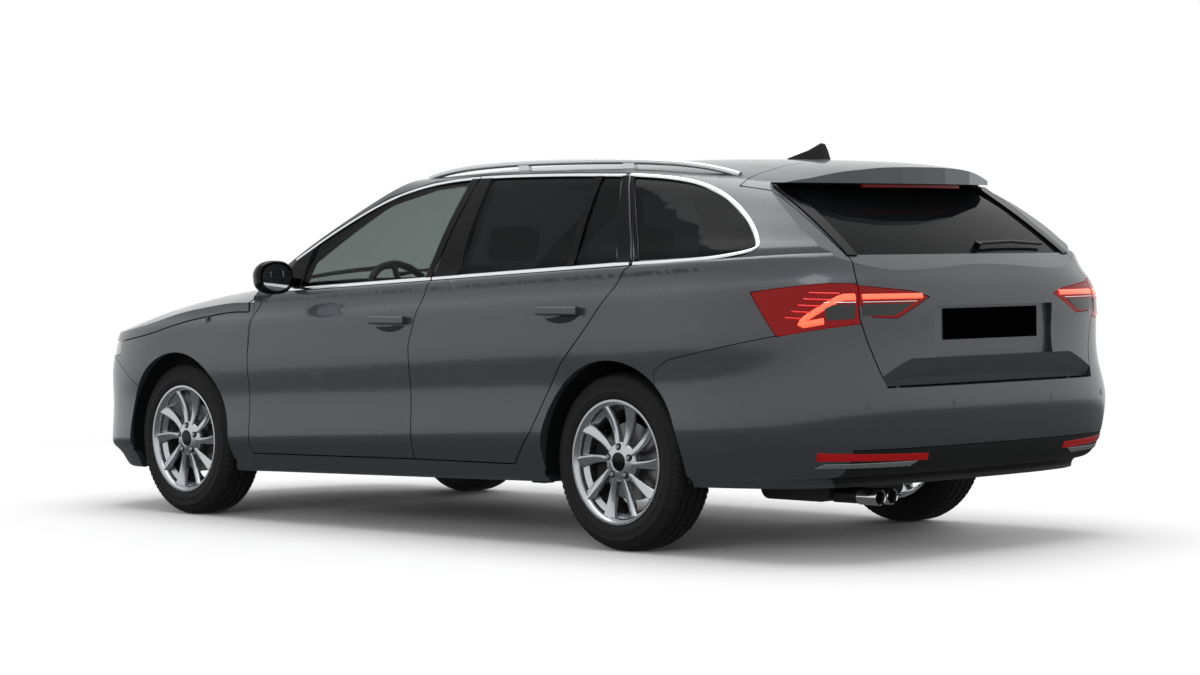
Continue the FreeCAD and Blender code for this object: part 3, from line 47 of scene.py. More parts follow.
# Camera: a long lens behind the car's left rear corner, a little above bumper height,
# so the whole side and tail show with the roof just seen from above.
SENSOR_MM, LENS_MM, ROLL_DEGREES = 36.0, 87.56, -0.827
EYE, AIM = Vector((-8.89156, 8.19011, 1.03150)), Vector((-0.2479, 0.0, 0.75015))
camera_data = bpy.data.cameras.new("camera")
camera_data.sensor_width = SENSOR_MM
camera_data.lens = LENS_MM
camera_data.clip_end = 200.0
camera = bpy.data.objects.new("camera", camera_data)
scene.collection.objects.link(camera)
scene.camera = camera
roll = Matrix.Rotation(math.radians(ROLL_DEGREES), 4, "Z").to_quaternion()
camera.rotation_mode = "QUATERNION"
camera.location = EYE
camera.rotation_quaternion = (AIM - EYE).to_track_quat("-Z", "Y") @ roll


# Studio: a pale floor that runs out into a white surround, lit by five soft boxes of which only the
# one overhead shows in paint and glass. Near the car the floor gives a painted dark reflection in paint and
# metal, which draws the body's creases.
scene.view_settings.view_transform = "Standard"
WHITE = (1, 1, 1, 1)
NEAR_FLOOR, FAR_FLOOR, FLOOR_REACH = 4.5, 8.0, 60
# painted dark reflection: how bright the floor near the car looks to mirror rays
FLOOR_PAINTED_REFLECTION = 0.12
SURROUND_LIGHT = 0.40


def add_node(tree, kind, settings=None):
    """Adds one node and sets its properties and inputs; an output, or a node's first, is joined on."""
    node = tree.nodes.new("ShaderNode" + kind)
    for name, value in (settings or {}).items():
        if isinstance(value, bpy.types.Node):
            value = value.outputs[0]
        if isinstance(value, bpy.types.NodeSocket):
            tree.links.new(value, node.inputs[name])
        elif isinstance(name, int) or name in node.inputs:
            node.inputs[name].default_value = value
        else:
            setattr(node, name, value)
    return node


def seen_rays(tree):
    """One where a camera, mirror or see-through ray arrives, nought for the rays that light the car."""
    rays = add_node(tree, "LightPath").outputs
    seen = rays["Is Camera Ray"]
    for ray in ("Is Glossy Ray", "Is Transmission Ray"):
        seen = add_node(tree, "Math", {"operation": "MAXIMUM", 0: seen, 1: rays[ray]})
    return seen


world = bpy.data.worlds.new("studio_surround")
scene.world = world
world.use_nodes = True
tree = world.node_tree
tree.nodes.clear()
lighting = add_node(tree, "Background", {"Color": WHITE, "Strength": SURROUND_LIGHT})
backdrop = add_node(tree, "Background", {"Color": WHITE, "Strength": 1.0})
surround = add_node(tree, "MixShader", {"Fac": seen_rays(tree), 1: lighting, 2: backdrop})
add_node(tree, "OutputWorld", {"Surface": surround})

floor_mesh = bpy.data.meshes.new("studio_floor")
floor_corners = [(x * FLOOR_REACH, y * FLOOR_REACH, 0) for x, y in ((-1, -1), (1, -1), (1, 1), (-1, 1))]
floor_mesh.from_pydata(floor_corners, [], [(0, 1, 2, 3)])
floor = bpy.data.objects.new("studio_floor", floor_mesh)
scene.collection.objects.link(floor)
floor_paint = bpy.data.materials.new("matt_white_floor_paint")
floor_paint.use_nodes = True
tree = floor_paint.node_tree
floor_shader = tree.nodes["Principled BSDF"]
floor_shader.inputs["Base Color"].default_value = (0.93, 0.93, 0.93, 1)
floor_shader.inputs["Roughness"].default_value = 0.7
place = add_node(tree, "TexCoord")
reach = add_node(tree, "VectorMath", {"operation": "LENGTH", 0: place.outputs["Object"]})
fade = add_node(tree, "MapRange", {"interpolation_type": "SMOOTHSTEP", "From Min": NEAR_FLOOR,
                                   "From Max": FAR_FLOOR, "Value": reach.outputs["Value"]})
share = add_node(tree, "Math", {"operation": "MULTIPLY", 0: fade, 1: seen_rays(tree)})
white = add_node(tree, "Emission", {"Color": WHITE, "Strength": 1.0})
# near the car the floor shows dark only to mirror rays: a painted dark reflection in paint and metal, while
# the camera sees it white
painted_dark_reflection = add_node(tree, "Emission", {"Color": WHITE, "Strength": FLOOR_PAINTED_REFLECTION})
glossy_ray = add_node(tree, "LightPath").outputs["Is Glossy Ray"]
near = add_node(tree, "MixShader", {"Fac": glossy_ray, 1: floor_shader, 2: painted_dark_reflection})
blend = add_node(tree, "MixShader", {"Fac": share, 1: near, 2: white})
tree.links.new(blend.outputs[0], tree.nodes["Material Output"].inputs["Surface"])
floor_mesh.materials.append(floor_paint)

for name, place, target, width, height, power in (
        ("overhead_box", (0, 0, 7.5), (0, 0, 0), 9.0, 6.0, 430),
        ("left_box", (-3.0, 9.0, 3.2), (-0.5, 0, 0.7), 9.0, 3.0, 260),
        ("tail_box", (-9.0, -2.0, 3.0), (-1.0, 0, 0.8), 5.0, 3.0, 150),
        ("right_box", (1.0, -9.0, 3.5), (0, 0, 0.7), 9.0, 3.0, 220),
        ("front_box", (9.5, 1.0, 3.5), (1, 0, 0.6), 5.0, 3.0, 150)):
    light = bpy.data.lights.new(name, "AREA")
    light.shape = "RECTANGLE"
    light.size, light.size_y, light.energy = width, height, power
    lamp = bpy.data.objects.new(name, light)
    lamp.visible_glossy = name == "overhead_box"
    lamp.location = place
    lamp.rotation_mode = "QUATERNION"
    lamp.rotation_quaternion = (Vector(target) - Vector(place)).to_track_quat("-Z", "Y")
    scene.collection.objects.link(lamp)


# Body panels: pressed steel, zinc coated, sprayed with a dark grey metallic base and clear lacquer.
# The same solids carry the cabin's dark moulded trim on their inner faces.
PAINT_GREY = "#3b3e43"
TRIM_GREY = "#232427"
FLAKE_SIZE, INNER_FACING = 0.0016, -0.55
# a wave texture of scale 1 has a band every 0.314 m
WAVE_SPAN = 0.314


def srgb(code):
    """A hex colour as the eye sees it, turned to linear light for the shader."""
    parts = [int(code[i:i + 2], 16) / 255.0 for i in (1, 3, 5)]
    return tuple(c / 12.92 if c <= 0.04045 else ((c + 0.055) / 1.055) ** 2.4 for c in parts) + (1.0,)


def shader_of(material):
    """A finish's node tree and its one principled shader."""
    return material.node_tree, material.node_tree.nodes["Principled BSDF"]


def laid_on(tree, kind, settings):
    """A pattern that lies on the piece in its own coordinates."""
    place = add_node(tree, "TexCoord")
    return add_node(tree, kind, {**settings, "Vector": place.outputs["Object"]}).outputs


def raised(tree, shader, height, strength, distance):
    """Lets a pattern stand out of the surface by a distance."""
    bump = add_node(tree, "Bump", {"Strength": strength, "Distance": distance, "Height": height})
    tree.links.new(bump.outputs[0], shader.inputs["Normal"])


def dye(tree, shader, colour, pattern, low, high):
    """A colour that a pattern darkens and lightens between two shares of itself."""
    tone = add_node(tree, "MapRange", {"To Min": low, "To Max": high, "Value": pattern})
    dyed = add_node(tree, "VectorMath", {"operation": "SCALE", 0: srgb(colour)[:3], "Scale": tone})
    tree.links.new(dyed.outputs[0], shader.inputs["Base Color"])


def finish_of(name, colour, metallic, roughness, coat=0.0, gloss=0.5, grain=None, glow=None):
    """A named finish: colour, share of metal, roughness, lacquer and how much it mirrors head on, with its
    grain as (size, depth, spread of roughness) and its own light as (colour, strength)."""
    material = bpy.data.materials.new(name)
    material.use_nodes = True
    tree, shader = shader_of(material)
    light, strength = glow or ("#ffffff", 0.0)
    for socket, value in (("Base Color", srgb(colour)), ("Metallic", metallic), ("Roughness", roughness),
                          ("Coat Weight", coat), ("Coat Roughness", 0.02), ("Specular IOR Level", gloss),
                          ("Emission Color", srgb(light)), ("Emission Strength", strength)):
        shader.inputs[socket].default_value = value
    if grain:
        roughen(tree, shader, *grain)
    return material


def roughen(tree, shader, grain, depth, spread=0.0):
    """Moulded or cast grain: noise of one grain size raises the surface and varies its roughness."""
    noise = laid_on(tree, "TexNoise", {"Scale": 1.0 / grain, "Detail": 3.0})
    raised(tree, shader, noise["Fac"], 0.6, depth)
    if spread:
        rough = shader.inputs["Roughness"].default_value
        varied = add_node(tree, "MapRange", {"To Min": rough - spread, "To Max": rough + spread,
                                             "Value": noise["Fac"]})
        tree.links.new(varied.outputs[0], shader.inputs["Roughness"])


def coat_nodes(material, *names):
    """Gives carried-over CAD pieces one finish."""
    for name in names:
        mesh = nodes[name].data
        mesh.materials.clear()
        mesh.materials.append(material)


# flakes of 0.1 mm are drawn at 1.6 mm so that they show as a fine shimmer under the lacquer
paint = finish_of("metallic_grey_lacquer", PAINT_GREY, 0.5, 0.34, 0.6, 0.4)
tree, shader = shader_of(paint)
place = add_node(tree, "TexCoord")
flakes = laid_on(tree, "TexVoronoi", {"Scale": 1.0 / FLAKE_SIZE})
dye(tree, shader, PAINT_GREY, flakes["Color"], 0.86, 1.16)
# inner faces look towards the middle of the car and show the dark trim
facing = add_node(tree, "SeparateXYZ", {0: place.outputs["Normal"]})
standing = add_node(tree, "SeparateXYZ", {0: place.outputs["Object"]})
side = add_node(tree, "Math", {"operation": "SIGN", 0: standing.outputs["Y"]})
inward = add_node(tree, "Math", {"operation": "MULTIPLY", 0: facing.outputs["Y"], 1: side})
is_inner = add_node(tree, "Math", {"operation": "LESS_THAN", 0: inward, 1: INNER_FACING})
trim = add_node(tree, "BsdfPrincipled", {"Base Color": srgb(TRIM_GREY), "Roughness": 0.6})
lined = add_node(tree, "MixShader", {"Fac": is_inner, 1: shader, 2: trim})
tree.links.new(lined.outputs[0], tree.nodes["Material Output"].inputs["Surface"])
coat_nodes(paint, "bonnet", "front_bumper", "rear_bumper", "tailgate", "roof_spoiler", "roof_panel",
           *(panel + side for panel in ("side_panel", "fender", "door_front", "door_rear")
             for side in ("_left", "_right")))


# Window glass: tempered panes, clear in front and dyed dark behind the front doors, bonded or
# run in rubber channels. Clean float glass has a hard gloss and almost no scatter.
PANE_IOR = 1.12
for name, tint, roughness, clearness, panes in (
        ("laminated_screen_glass", "#b9c3c0", 0.02, 1.0, ("windscreen",)),
        ("tinted_door_glass", "#929896", 0.02, 1.0, ("glass_front_left", "glass_front_right")),
        ("dyed_privacy_glass", "#26282a", 0.03, 0.75,
         ("glass_rear_left", "glass_rear_right", "quarter_glasses", "tailgate_glass"))):
    glass = finish_of(name, tint, 0.0, roughness)
    shader = shader_of(glass)[1]
    shader.inputs["Transmission Weight"].default_value = clearness
    shader.inputs["IOR"].default_value = PANE_IOR
    coat_nodes(glass, *panes)


# Window mouldings: one bright anodised aluminium strip loops round all the side windows, rolled to
# a low arch and clipped to the door frames and the quarter panel, so it parts where the doors do.
# each level of the body: height, half width, reach of the nose and reach of the tail
LEVELS = np.array([(0.222, 0.835, 2.235, 2.215), (0.262, 0.862, 2.300, 2.262), (0.291, 0.874, 2.325, 2.300),
                   (0.383, 0.902, 2.343, 2.338), (0.440, 0.899, 2.345, 2.345), (0.560, 0.892, 2.343, 2.318),
                   (0.700, 0.903, 2.328, 2.300), (0.800, 0.896, 2.305, 2.304), (0.884, 0.880, 2.262, 2.277),
                   (0.896, 0.872, 2.250, 2.270), (0.946, 0.860, 2.200, 2.240), (0.986, 0.848, 2.150, 2.212),
                   (1.040, 0.800, 2.080, 2.190)])
RISE_HEIGHTS, RISES = (0.291, 0.383, 0.440), (0.018, 0.040, 0.042)
BELT_HEIGHT, BELT_RISE, BELT_NOSE, BELT_TAIL = 0.986, 0.042, 2.150, 2.212
GLASS_BASE, SIDE_LEAN, TAIL_LEAN, SIDE_CURVE = 0.838, 0.36, 0.376, 0.45
TAIL_POWERS, NOSE_POWERS = (3.0, 16.0), (2.4, 12.0)
TAPER_START, TAPER_SPAN = -0.4, 1.374
TOP_STRIP, BELT_STRIP, STRIP_PROUD = 0.010, 0.013, 0.0045
TOP_EDGE = [(0.742, 1.0855), (0.539, 1.2035), (0.286, 1.3245), (0.050, 1.3785), (-0.243, 1.3965),
            (-0.700, 1.3905), (-1.069, 1.3775)]
QUARTER_EDGE = [(-1.090, 1.3785), (-1.280, 1.3645), (-1.458, 1.338), (-1.624, 1.284), (-1.785, 1.198),
                (-1.889, 1.110), (-1.885, 1.086), (-1.730, 1.0640), (-1.579, 1.0560), (-1.319, 1.0475)]


def plan_share(x, reach, powers):
    """How wide a plan outline is at station x, from a super-ellipse of the two powers."""
    along, across = powers[1], powers[0]
    return (1 - np.minimum(np.abs(x) / reach, 0.9999) ** along) ** (1 / across)


def glass_half_width(x, z):
    """Half width of the cabin's sides: the plan width at the belt, less a lean and a curve with height."""
    tail, nose = plan_share(x, BELT_TAIL, TAIL_POWERS), plan_share(x, BELT_NOSE, NOSE_POWERS)
    up = z - BELT_HEIGHT + BELT_RISE * x
    aft = np.maximum(0.0, (TAPER_START - x) / TAPER_SPAN)
    lean = (SIDE_LEAN + TAIL_LEAN * aft**2) * up + SIDE_CURVE * up * np.abs(up)
    return GLASS_BASE * np.where(x < 0, tail, nose) - lean


def curve_through(places, values):
    """A smooth curve through stations that never overshoots: cubic pieces with harmonic mean slopes."""
    steps = np.diff(values) / np.diff(places)
    product, total = steps[1:] * steps[:-1], steps[1:] + steps[:-1]
    middle = np.where(product > 0, 2 * product / np.where(total == 0, 1, total), 0)
    slopes = np.concatenate([steps[:1], middle, steps[-1:]])

    def value(at):
        i = np.clip(np.searchsorted(places, at) - 1, 0, len(places) - 2)
        span = places[i + 1] - places[i]
        t = np.clip((at - places[i]) / span, 0, 1)
        inside = ((2 * t**3 - 3 * t**2 + 1) * values[i] + (t**3 - 2 * t**2 + t) * span * slopes[i]
                  + (3 * t**2 - 2 * t**3) * values[i + 1] + (t**3 - t**2) * span * slopes[i + 1])
        before, after = np.minimum(at - places[0], 0), np.maximum(at - places[-1], 0)
        return inside + slopes[0] * before + slopes[-1] * after

    return value


level_width = curve_through(LEVELS[:, 0], LEVELS[:, 1])
level_nose = curve_through(LEVELS[:, 0], LEVELS[:, 2])
level_tail = curve_through(LEVELS[:, 0], LEVELS[:, 3])


def level_of(x, z):
    """The height amidships of the level that passes (x, z); levels rise to the tail, low ones less."""
    height = z + BELT_RISE * x
    for _ in range(8):
        height = z + np.interp(height, RISE_HEIGHTS, RISES) * x
    return height


def lower_half_width(x, z):
    """Half width of the body below the belt: the level's width, narrowed by its plan outline at the ends."""
    height = level_of(x, z)
    tail = plan_share(x, level_tail(height), TAIL_POWERS)
    nose = plan_share(x, level_nose(height), NOSE_POWERS)
    return level_width(height) * np.where(x < 0, tail, nose)


def upper_half_width(x, z):
    """Half width where the cabin stands on the lower body: whichever is wider."""
    return np.maximum(glass_half_width(x, z), lower_half_width(x, z))


def unit(vectors):
    """Vectors brought to length one."""
    return vectors / np.linalg.norm(vectors, axis=-1, keepdims=True)


def on_side(half_width, x, z, out):
    """Points of the left side at (x, z), moved out along the normal that the width's slopes give."""
    x, z, out = np.broadcast_arrays(np.asarray(x, float), np.asarray(z, float), np.asarray(out, float))
    step = 0.002
    slope_x = (half_width(x + step, z) - half_width(x - step, z)) / (2 * step)
    slope_z = (half_width(x, z + step) - half_width(x, z - step)) / (2 * step)
    normal = unit(np.stack([-slope_x, np.ones_like(x), -slope_z], -1))
    return np.stack([x, half_width(x, z), z], -1) + out[..., None] * normal


def softened(points, rounds=3):
    """A broken line whose corners are cut a quarter of the way along each side, several times over."""
    points = np.asarray(points, float)
    for _ in range(rounds):
        first, last = points[:-1], points[1:]
        cut = np.stack([0.75 * first + 0.25 * last, 0.25 * first + 0.75 * last], 1)
        points = np.concatenate([points[:1], cut.reshape(-1, points.shape[1]), points[-1:]])
    return points


def grid_faces(rows, columns, closed_rows=False, closed_columns=False):
    """Four-cornered faces over a grid of points counted row by row; a closed way joins last to first."""
    row = np.arange(rows if closed_rows else rows - 1)[:, None]
    column = np.arange(columns if closed_columns else columns - 1)[None, :]
    below, beside = (row + 1) % rows, (column + 1) % columns
    here, under = row * columns, below * columns
    corners = [here + column, here + beside, under + beside, under + column]
    return np.stack(np.broadcast_arrays(*corners), -1).reshape(-1, 4)


def slab(outer, inner):
    """Two like grids of points, faced and joined round their edges into one closed shell."""
    rows, columns = outer.shape[:2]
    count = rows * columns
    right = np.arange(1, rows) * columns + columns - 1
    bottom = (rows - 1) * columns + np.arange(columns - 2, -1, -1)
    left = np.arange(rows - 2, 0, -1) * columns
    edge = np.concatenate([np.arange(columns), right, bottom, left])
    following = np.roll(edge, -1)
    sides = np.stack([edge, following, following + count, edge + count], -1)
    faces = grid_faces(rows, columns)
    return (np.concatenate([outer.reshape(-1, 3), inner.reshape(-1, 3)]),
            np.concatenate([faces, faces[:, ::-1] + count, sides]))


def straight(start, end, height, end_height, count):
    """A path of evenly spaced points from one length and height to another."""
    return np.linspace((start, height), (end, end_height), count)


def strip_places(path, breadth, count=7):
    """Places across a path: count of them at each point, spread square to the way it runs."""
    along = unit(np.gradient(path, axis=0))
    across = np.stack([-along[:, 1], along[:, 0]], -1)
    spread = np.linspace(-1, 1, count)
    return path[:, None] + across[:, None] * spread[None, :, None] * breadth / 2, spread


def moulding(surface, path, breadth, proud, sunk=0.004):
    """A strip on a surface along a path, closed behind; its face is an arch, 1 - 0.6 s² of its height."""
    places, spread = strip_places(np.asarray(path, float), breadth)
    first, second = places[..., 0], places[..., 1]
    return slab(surface(first, second, proud * (1 - 0.6 * spread**2)), surface(first, second, -sunk))


def cabin_side(x, z, out):
    """The cabin's left side as a surface of (x, z) and the distance out."""
    return on_side(upper_half_width, x, z, out)


def add_form(name, form, material, body, bevel=0.0, crease=40):
    """One closed piece from (points, faces), riding a body: doubles joined, faces outwards, creases kept."""
    points, faces = form
    mesh = bpy.data.meshes.new(name)
    mesh.from_pydata(points.tolist(), [], faces.tolist())
    shell = bmesh.new()
    shell.from_mesh(mesh)
    bmesh.ops.remove_doubles(shell, verts=shell.verts, dist=2e-6)
    bmesh.ops.recalc_face_normals(shell, faces=shell.faces)
    shell.to_mesh(mesh)
    shell.free()
    mesh.shade_smooth()
    mesh.set_sharp_from_angle(angle=math.radians(crease))
    mesh.materials.append(material)
    piece = bpy.data.objects.new(name, mesh)
    scene.collection.objects.link(piece)
    if bevel:
        rounding = piece.modifiers.new("rounded_edges", "BEVEL")
        rounding.width, rounding.segments, rounding.limit_method = bevel, 2, "ANGLE"
        rounding.angle_limit = math.radians(40)
        rounding.harden_normals = True
    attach(piece, body)
    return piece


def add_pair(name, form, material, body, bevel=0.0, crease=40):
    """The piece on the left and its mirror image on the right, where a left-hand body's name changes too."""
    points, faces = form
    return [add_form(name + "_" + side, (points * (1, sign, 1), faces), material, body.replace("left", side),
                     bevel, crease) for side, sign in (("left", 1), ("right", -1))]


def between(path, x_high, x_low):
    """The part of a path whose x lies in the given span, cut exactly at both ends."""
    inside = path[(path[:, 0] < x_high) & (path[:, 0] > x_low), 0]
    stations = np.concatenate([[x_high], inside, [x_low]])
    order = np.argsort(path[:, 0])
    return np.stack([stations, np.interp(stations, path[order, 0], path[order, 1])], -1)


def belt_path(x_high, x_low):
    """The lower strip's middle line, 8 mm above the belt."""
    high, low = (BELT_HEIGHT - BELT_RISE * x + 0.008 for x in (x_high, x_low))
    return straight(x_high, x_low, high, low, 24)


bright_strip = finish_of("bright_anodised_moulding", "#e4e6e8", 1.0, 0.14, grain=(0.004, 0.00002, 0.04))
top_edge = softened(TOP_EDGE)
for name, path, breadth, body in (
        ("top_moulding_front_door", between(top_edge, 0.742, -0.2405), TOP_STRIP, "front_door_left"),
        ("top_moulding_rear_door", between(top_edge, -0.2475, -1.069), TOP_STRIP, "rear_door_left"),
        ("belt_moulding_front_door", belt_path(0.822, -0.1885), BELT_STRIP, "front_door_left"),
        ("belt_moulding_rear_door", belt_path(-0.1965, -1.300), BELT_STRIP, "rear_door_left"),
        ("quarter_moulding", softened(QUARTER_EDGE), TOP_STRIP + 0.002, "car_body")):
    add_pair(name, moulding(cabin_side, path, breadth, STRIP_PROUD), bright_strip, body)


# Pillar covers: gloss black mouldings snapped over the door frames between the windows, and the
# corner piece that carries the mirror, so glass and pillars read as one dark band.
COVER_PROUD = 0.0050
FRONT_REAR_EDGE = [(-0.153, 1.005), (-0.1885, 1.005), (-0.2400, 1.389), (-0.1950, 1.389)]
REAR_FRONT_EDGE = [(-0.1975, 1.006), (-0.3460, 1.013), (-0.3165, 1.389), (-0.2485, 1.389)]
DIVIDER = [(-0.960, 1.041), (-0.998, 1.043), (-0.952, 1.376), (-0.914, 1.377)]
REAR_REAR_EDGE = [(-1.2260, 1.053), (-1.3000, 1.050), (-1.0810, 1.374), (-1.0540, 1.3735)]
BODY_EDGE = [(-1.3190, 1.057), (-1.3345, 1.0590), (-1.1125, 1.3705), (-1.0950, 1.3725)]
MIRROR_CORNER = [(0.818, 0.966), (0.6570, 0.973), (0.6420, 1.132), (0.7330, 1.081)]


def patch(corners, rows=14, columns=4):
    """Places on a grid stretched evenly between four corners given in turn."""
    u = np.linspace(0, 1, rows)[:, None, None]
    v = np.linspace(0, 1, columns)[None, :, None]
    a, b, c, d = (np.asarray(corner, float) for corner in corners)
    return (1 - u) * ((1 - v) * a + v * b) + u * ((1 - v) * d + v * c)


def cover(surface, corners, proud, sunk, rows=14, columns=4):
    """A thin closed plate on a surface between four corners."""
    places = patch(corners, rows, columns)
    first, second = places[..., 0], places[..., 1]
    return slab(surface(first, second, proud), surface(first, second, -sunk))


MOULDED_WAVE = (0.02, 0.00003, 0.03)
gloss_black = finish_of("gloss_black_lacquered_abs", "#050506", 0.0, 0.10, gloss=0.2, grain=MOULDED_WAVE)
pillar_black = finish_of("deep_gloss_black_abs", "#040405", 0.0, 0.10, gloss=0.08, grain=MOULDED_WAVE)
for name, corners, body in (("pillar_cover_front_door", FRONT_REAR_EDGE, "front_door_left"),
                            ("pillar_cover_rear_door", REAR_FRONT_EDGE, "rear_door_left"),
                            ("window_divider", DIVIDER, "rear_door_left"),
                            ("window_rear_frame", REAR_REAR_EDGE, "rear_door_left"),
                            ("quarter_frame", BODY_EDGE, "car_body"),
                            ("mirror_corner_cover", MIRROR_CORNER, "front_door_left")):
    add_pair(name, cover(cabin_side, corners, COVER_PROUD, 0.002), pillar_black, body, 0.0006)


# Door handles: the door's painted grip bar stands over a cup pressed into the skin, whose shade is painted
# on as a near-black plate laid a millimetre out from the skin; a slim satin metal strip is let into the
# bar's outer face.
HANDLES = (("front_door", -0.096, 0.118, 0.841), ("rear_door", -1.088, -0.868, 0.878))
CUP_HALF_LENGTH, CUP_HALF_HEIGHT = 0.103, 0.043
GRIP_OUT = 0.029


def body_side(x, z, out):
    """The lower body's left side as a surface of (x, z) and the distance out."""
    return on_side(lower_half_width, x, z, out)


def button(surface, centre, half_length, half_height, proud, sunk, dome=0.0, count=40):
    """A round or oval plate on a surface: rings from the middle out, the rim, and back to the middle."""
    turn = np.linspace(0, 2 * math.pi, count, endpoint=False)[None, :]
    ring = np.array([0.0, 0.35, 0.65, 0.85, 0.96, 1.0, 1.0, 0.0])[:, None]
    out = np.where(np.arange(8)[:, None] < 6, proud + dome * (1 - ring**2), -sunk)
    points = surface(centre[0] + half_length * ring * np.cos(turn),
                     centre[1] + half_height * ring * np.sin(turn), out)
    return points.reshape(-1, 3), grid_faces(8, count, closed_columns=True)


# painted shade: the handle cup's darkness is set in its colour, not cast by light
cup_painted_shade = finish_of("painted_shade_handle_cup", "#08090a", 0.0, 0.3, gloss=0.15,
                      grain=(0.01, 0.00003, 0.04))
satin_strip = finish_of("satin_grip_strip", "#85888c", 1.0, 0.3, grain=(0.004, 0.00002, 0.04))
for door, x0, x1, z in HANDLES:
    middle = (x0 + x1) / 2
    cup = button(body_side, (middle, z - 0.004), CUP_HALF_LENGTH, CUP_HALF_HEIGHT, 0.001, 0.003)
    add_pair("handle_cup_" + door, cup, cup_painted_shade, door + "_left")
    low, high = z + 0.0100, z + 0.0122
    grip = patch([(x0 + 0.008, low), (x1 - 0.008, low), (x1 - 0.008, high), (x0 + 0.008, high)], 3, 8)
    out = np.full(grip.shape[:2], lower_half_width(middle, z) + GRIP_OUT)
    face = np.stack([grip[..., 0], out, grip[..., 1]], -1)
    add_pair("handle_strip_" + door, slab(face, face - (0, 0.003, 0)), satin_strip, door + "_left", 0.0008)


# Mirrors: gloss black moulded housings on the front doors hold silvered, slightly curved glass.
mirror_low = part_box("mirror_left")[0]
MIRROR_MIDDLE = (0.962, 1.014)
MIRROR_HALF = (0.074, 0.055)


def mirror_face(y, z, out):
    """The housing's flat rear face as a surface of (y, z)."""
    y, z, out = np.broadcast_arrays(y, z, out)
    return np.stack([mirror_low[0] - out, y, z], -1)


mirror_glass = finish_of("silvered_mirror_glass", "#cfd6da", 1.0, 0.03)
mirror_form = button(mirror_face, MIRROR_MIDDLE, *MIRROR_HALF, 0.0012, 0.001, 0.001)
add_pair("mirror_glass", mirror_form, mirror_glass, "front_door_left")
coat_nodes(gloss_black, "mirror_left", "mirror_right", "front_grille", "roof_antenna", "rear_wiper")


# Tailgate trim: gloss black side fins stand on the gate beside the glass, and the high brake
# light is a red acrylic bar fixed under the spoiler's rear edge.
GATE_GLASS = np.array([(0.900, -2.380), (1.035, -2.240), (1.180, -2.048), (1.318, -1.830), (1.480, -1.560)])
GATE_BOW, GATE_HALF = 0.055, 0.6
FIN = [(0.575, 1.062), (0.6165, 1.062), (0.5905, 1.318), (0.531, 1.318)]
BRAKE_HALF_WIDTH, BRAKE_X, BRAKE_Z = 0.27, -1.945, 1.3215
gate_glass_x = curve_through(GATE_GLASS[:, 0], GATE_GLASS[:, 1])


def leaning_pane(profile, bow, half, way, y, z, out):
    """A leaning profile that bows inwards with y squared; way is 1 for the front pane, -1 for the rear."""
    y, z, out = np.broadcast_arrays(y, z, out)
    slope = (profile(z + 0.002) - profile(z - 0.002)) / 0.004
    normal = unit(np.stack([way * np.ones_like(y), 2 * bow * y / half**2, -way * slope], -1))
    return np.stack([profile(z) - way * bow * (y / half) ** 2, y, z], -1) + out[..., None] * normal


def gate_face(y, z, out):
    """The tail glass as a surface of (y, z)."""
    return leaning_pane(gate_glass_x, GATE_BOW, GATE_HALF, -1, y, z, out)


add_pair("gate_side_fin", cover(gate_face, FIN, 0.006, 0.003), gloss_black, "tailgate_body", 0.0015)
y = np.linspace(-BRAKE_HALF_WIDTH, BRAKE_HALF_WIDTH, 24)[:, None]
x = BRAKE_X + 0.35 * y**2 + np.array([[0.0, 0.016]])
brake_top = np.stack(np.broadcast_arrays(x, y, BRAKE_Z), -1)
brake_red = finish_of("red_acrylic_brake_lens", "#4c0407", 0.0, 0.1, gloss=0.15, glow=("#7c0a10", 0.15))
add_form("high_brake_light", slab(brake_top, brake_top - (0, 0, 0.012)), brake_red, "tailgate_body", 0.001)


# Tail lamps: red acrylic lenses wrap round each corner, parted at the tailgate. Behind them glow
# bent light guides, shaped like an arrow that points outwards, over a dark clear reversing window.
TIP_Y, GATE_SEAM_Y, BODY_SEAM_Y = 0.385, 0.640, 0.664
ELBOW_TURN, CORNER_TURN, FOOT_TURN = (math.radians(degrees) for degrees in (46.5, 63.0, 51.5))
GUIDE_HEIGHT, CORNER_HEIGHT, FOOT_HEIGHT = 0.921, 0.822, 0.840
GUIDE_BREADTH, BRIGHT_HEIGHT = 0.022, 0.9025
LENS_RIBS = 38.0


def end_skin(turn, z, nose=False):
    """The body's end at a turn round its corner: across is width·sin^(2/p), along is reach·cos^(2/q)."""
    across, along = NOSE_POWERS if nose else TAIL_POWERS
    level, sign = (level_nose, 1.0) if nose else (level_tail, -1.0)
    turn, z = np.broadcast_arrays(np.asarray(turn, float), np.asarray(z, float))
    x = np.full(turn.shape, 2.2 * sign)
    for _ in range(4):
        x = sign * level(level_of(x, z)) * np.cos(turn) ** (2 / along)
    return np.stack([x, level_width(level_of(x, z)) * np.sin(turn) ** (2 / across), z], -1)


def round_end(turn, z, out, nose=False):
    """The body's end as a surface of turn and height, moved out along its normal."""
    turn, z, out = np.broadcast_arrays(turn, z, out)
    step = 0.002
    across = end_skin(turn + step, z, nose) - end_skin(turn - step, z, nose)
    up = end_skin(turn, z + step, nose) - end_skin(turn, z - step, nose)
    normal = unit(np.cross(across, up) if nose else np.cross(up, across))
    return end_skin(turn, z, nose) + out[..., None] * normal


def wrap_maps(z, nose=False):
    """Two maps at one height: from a length measured round the body's end to the turn, and back."""
    turns = np.linspace(0.02, 1.45, 600)
    points = end_skin(turns, z, nose)
    steps = np.linalg.norm(np.diff(points, axis=0), axis=1)
    lengths = points[0, 1] + np.concatenate([[0.0], np.cumsum(steps)])
    return (lambda length: np.interp(length, lengths, turns)), (lambda turn: np.interp(turn, turns, lengths))


def turn_at(y, z):
    """The turn at which the tail's half width is y."""
    return np.arcsin((y / level_width(level_of(-2.2, z))) ** (TAIL_POWERS[0] / 2))


tail_turn, tail_length = wrap_maps(0.90)


def lamp_face(length, z, out):
    """The tail as a sheet wrapped round it: lengths round the corner and heights, moved out."""
    return round_end(tail_turn(length), z, out)


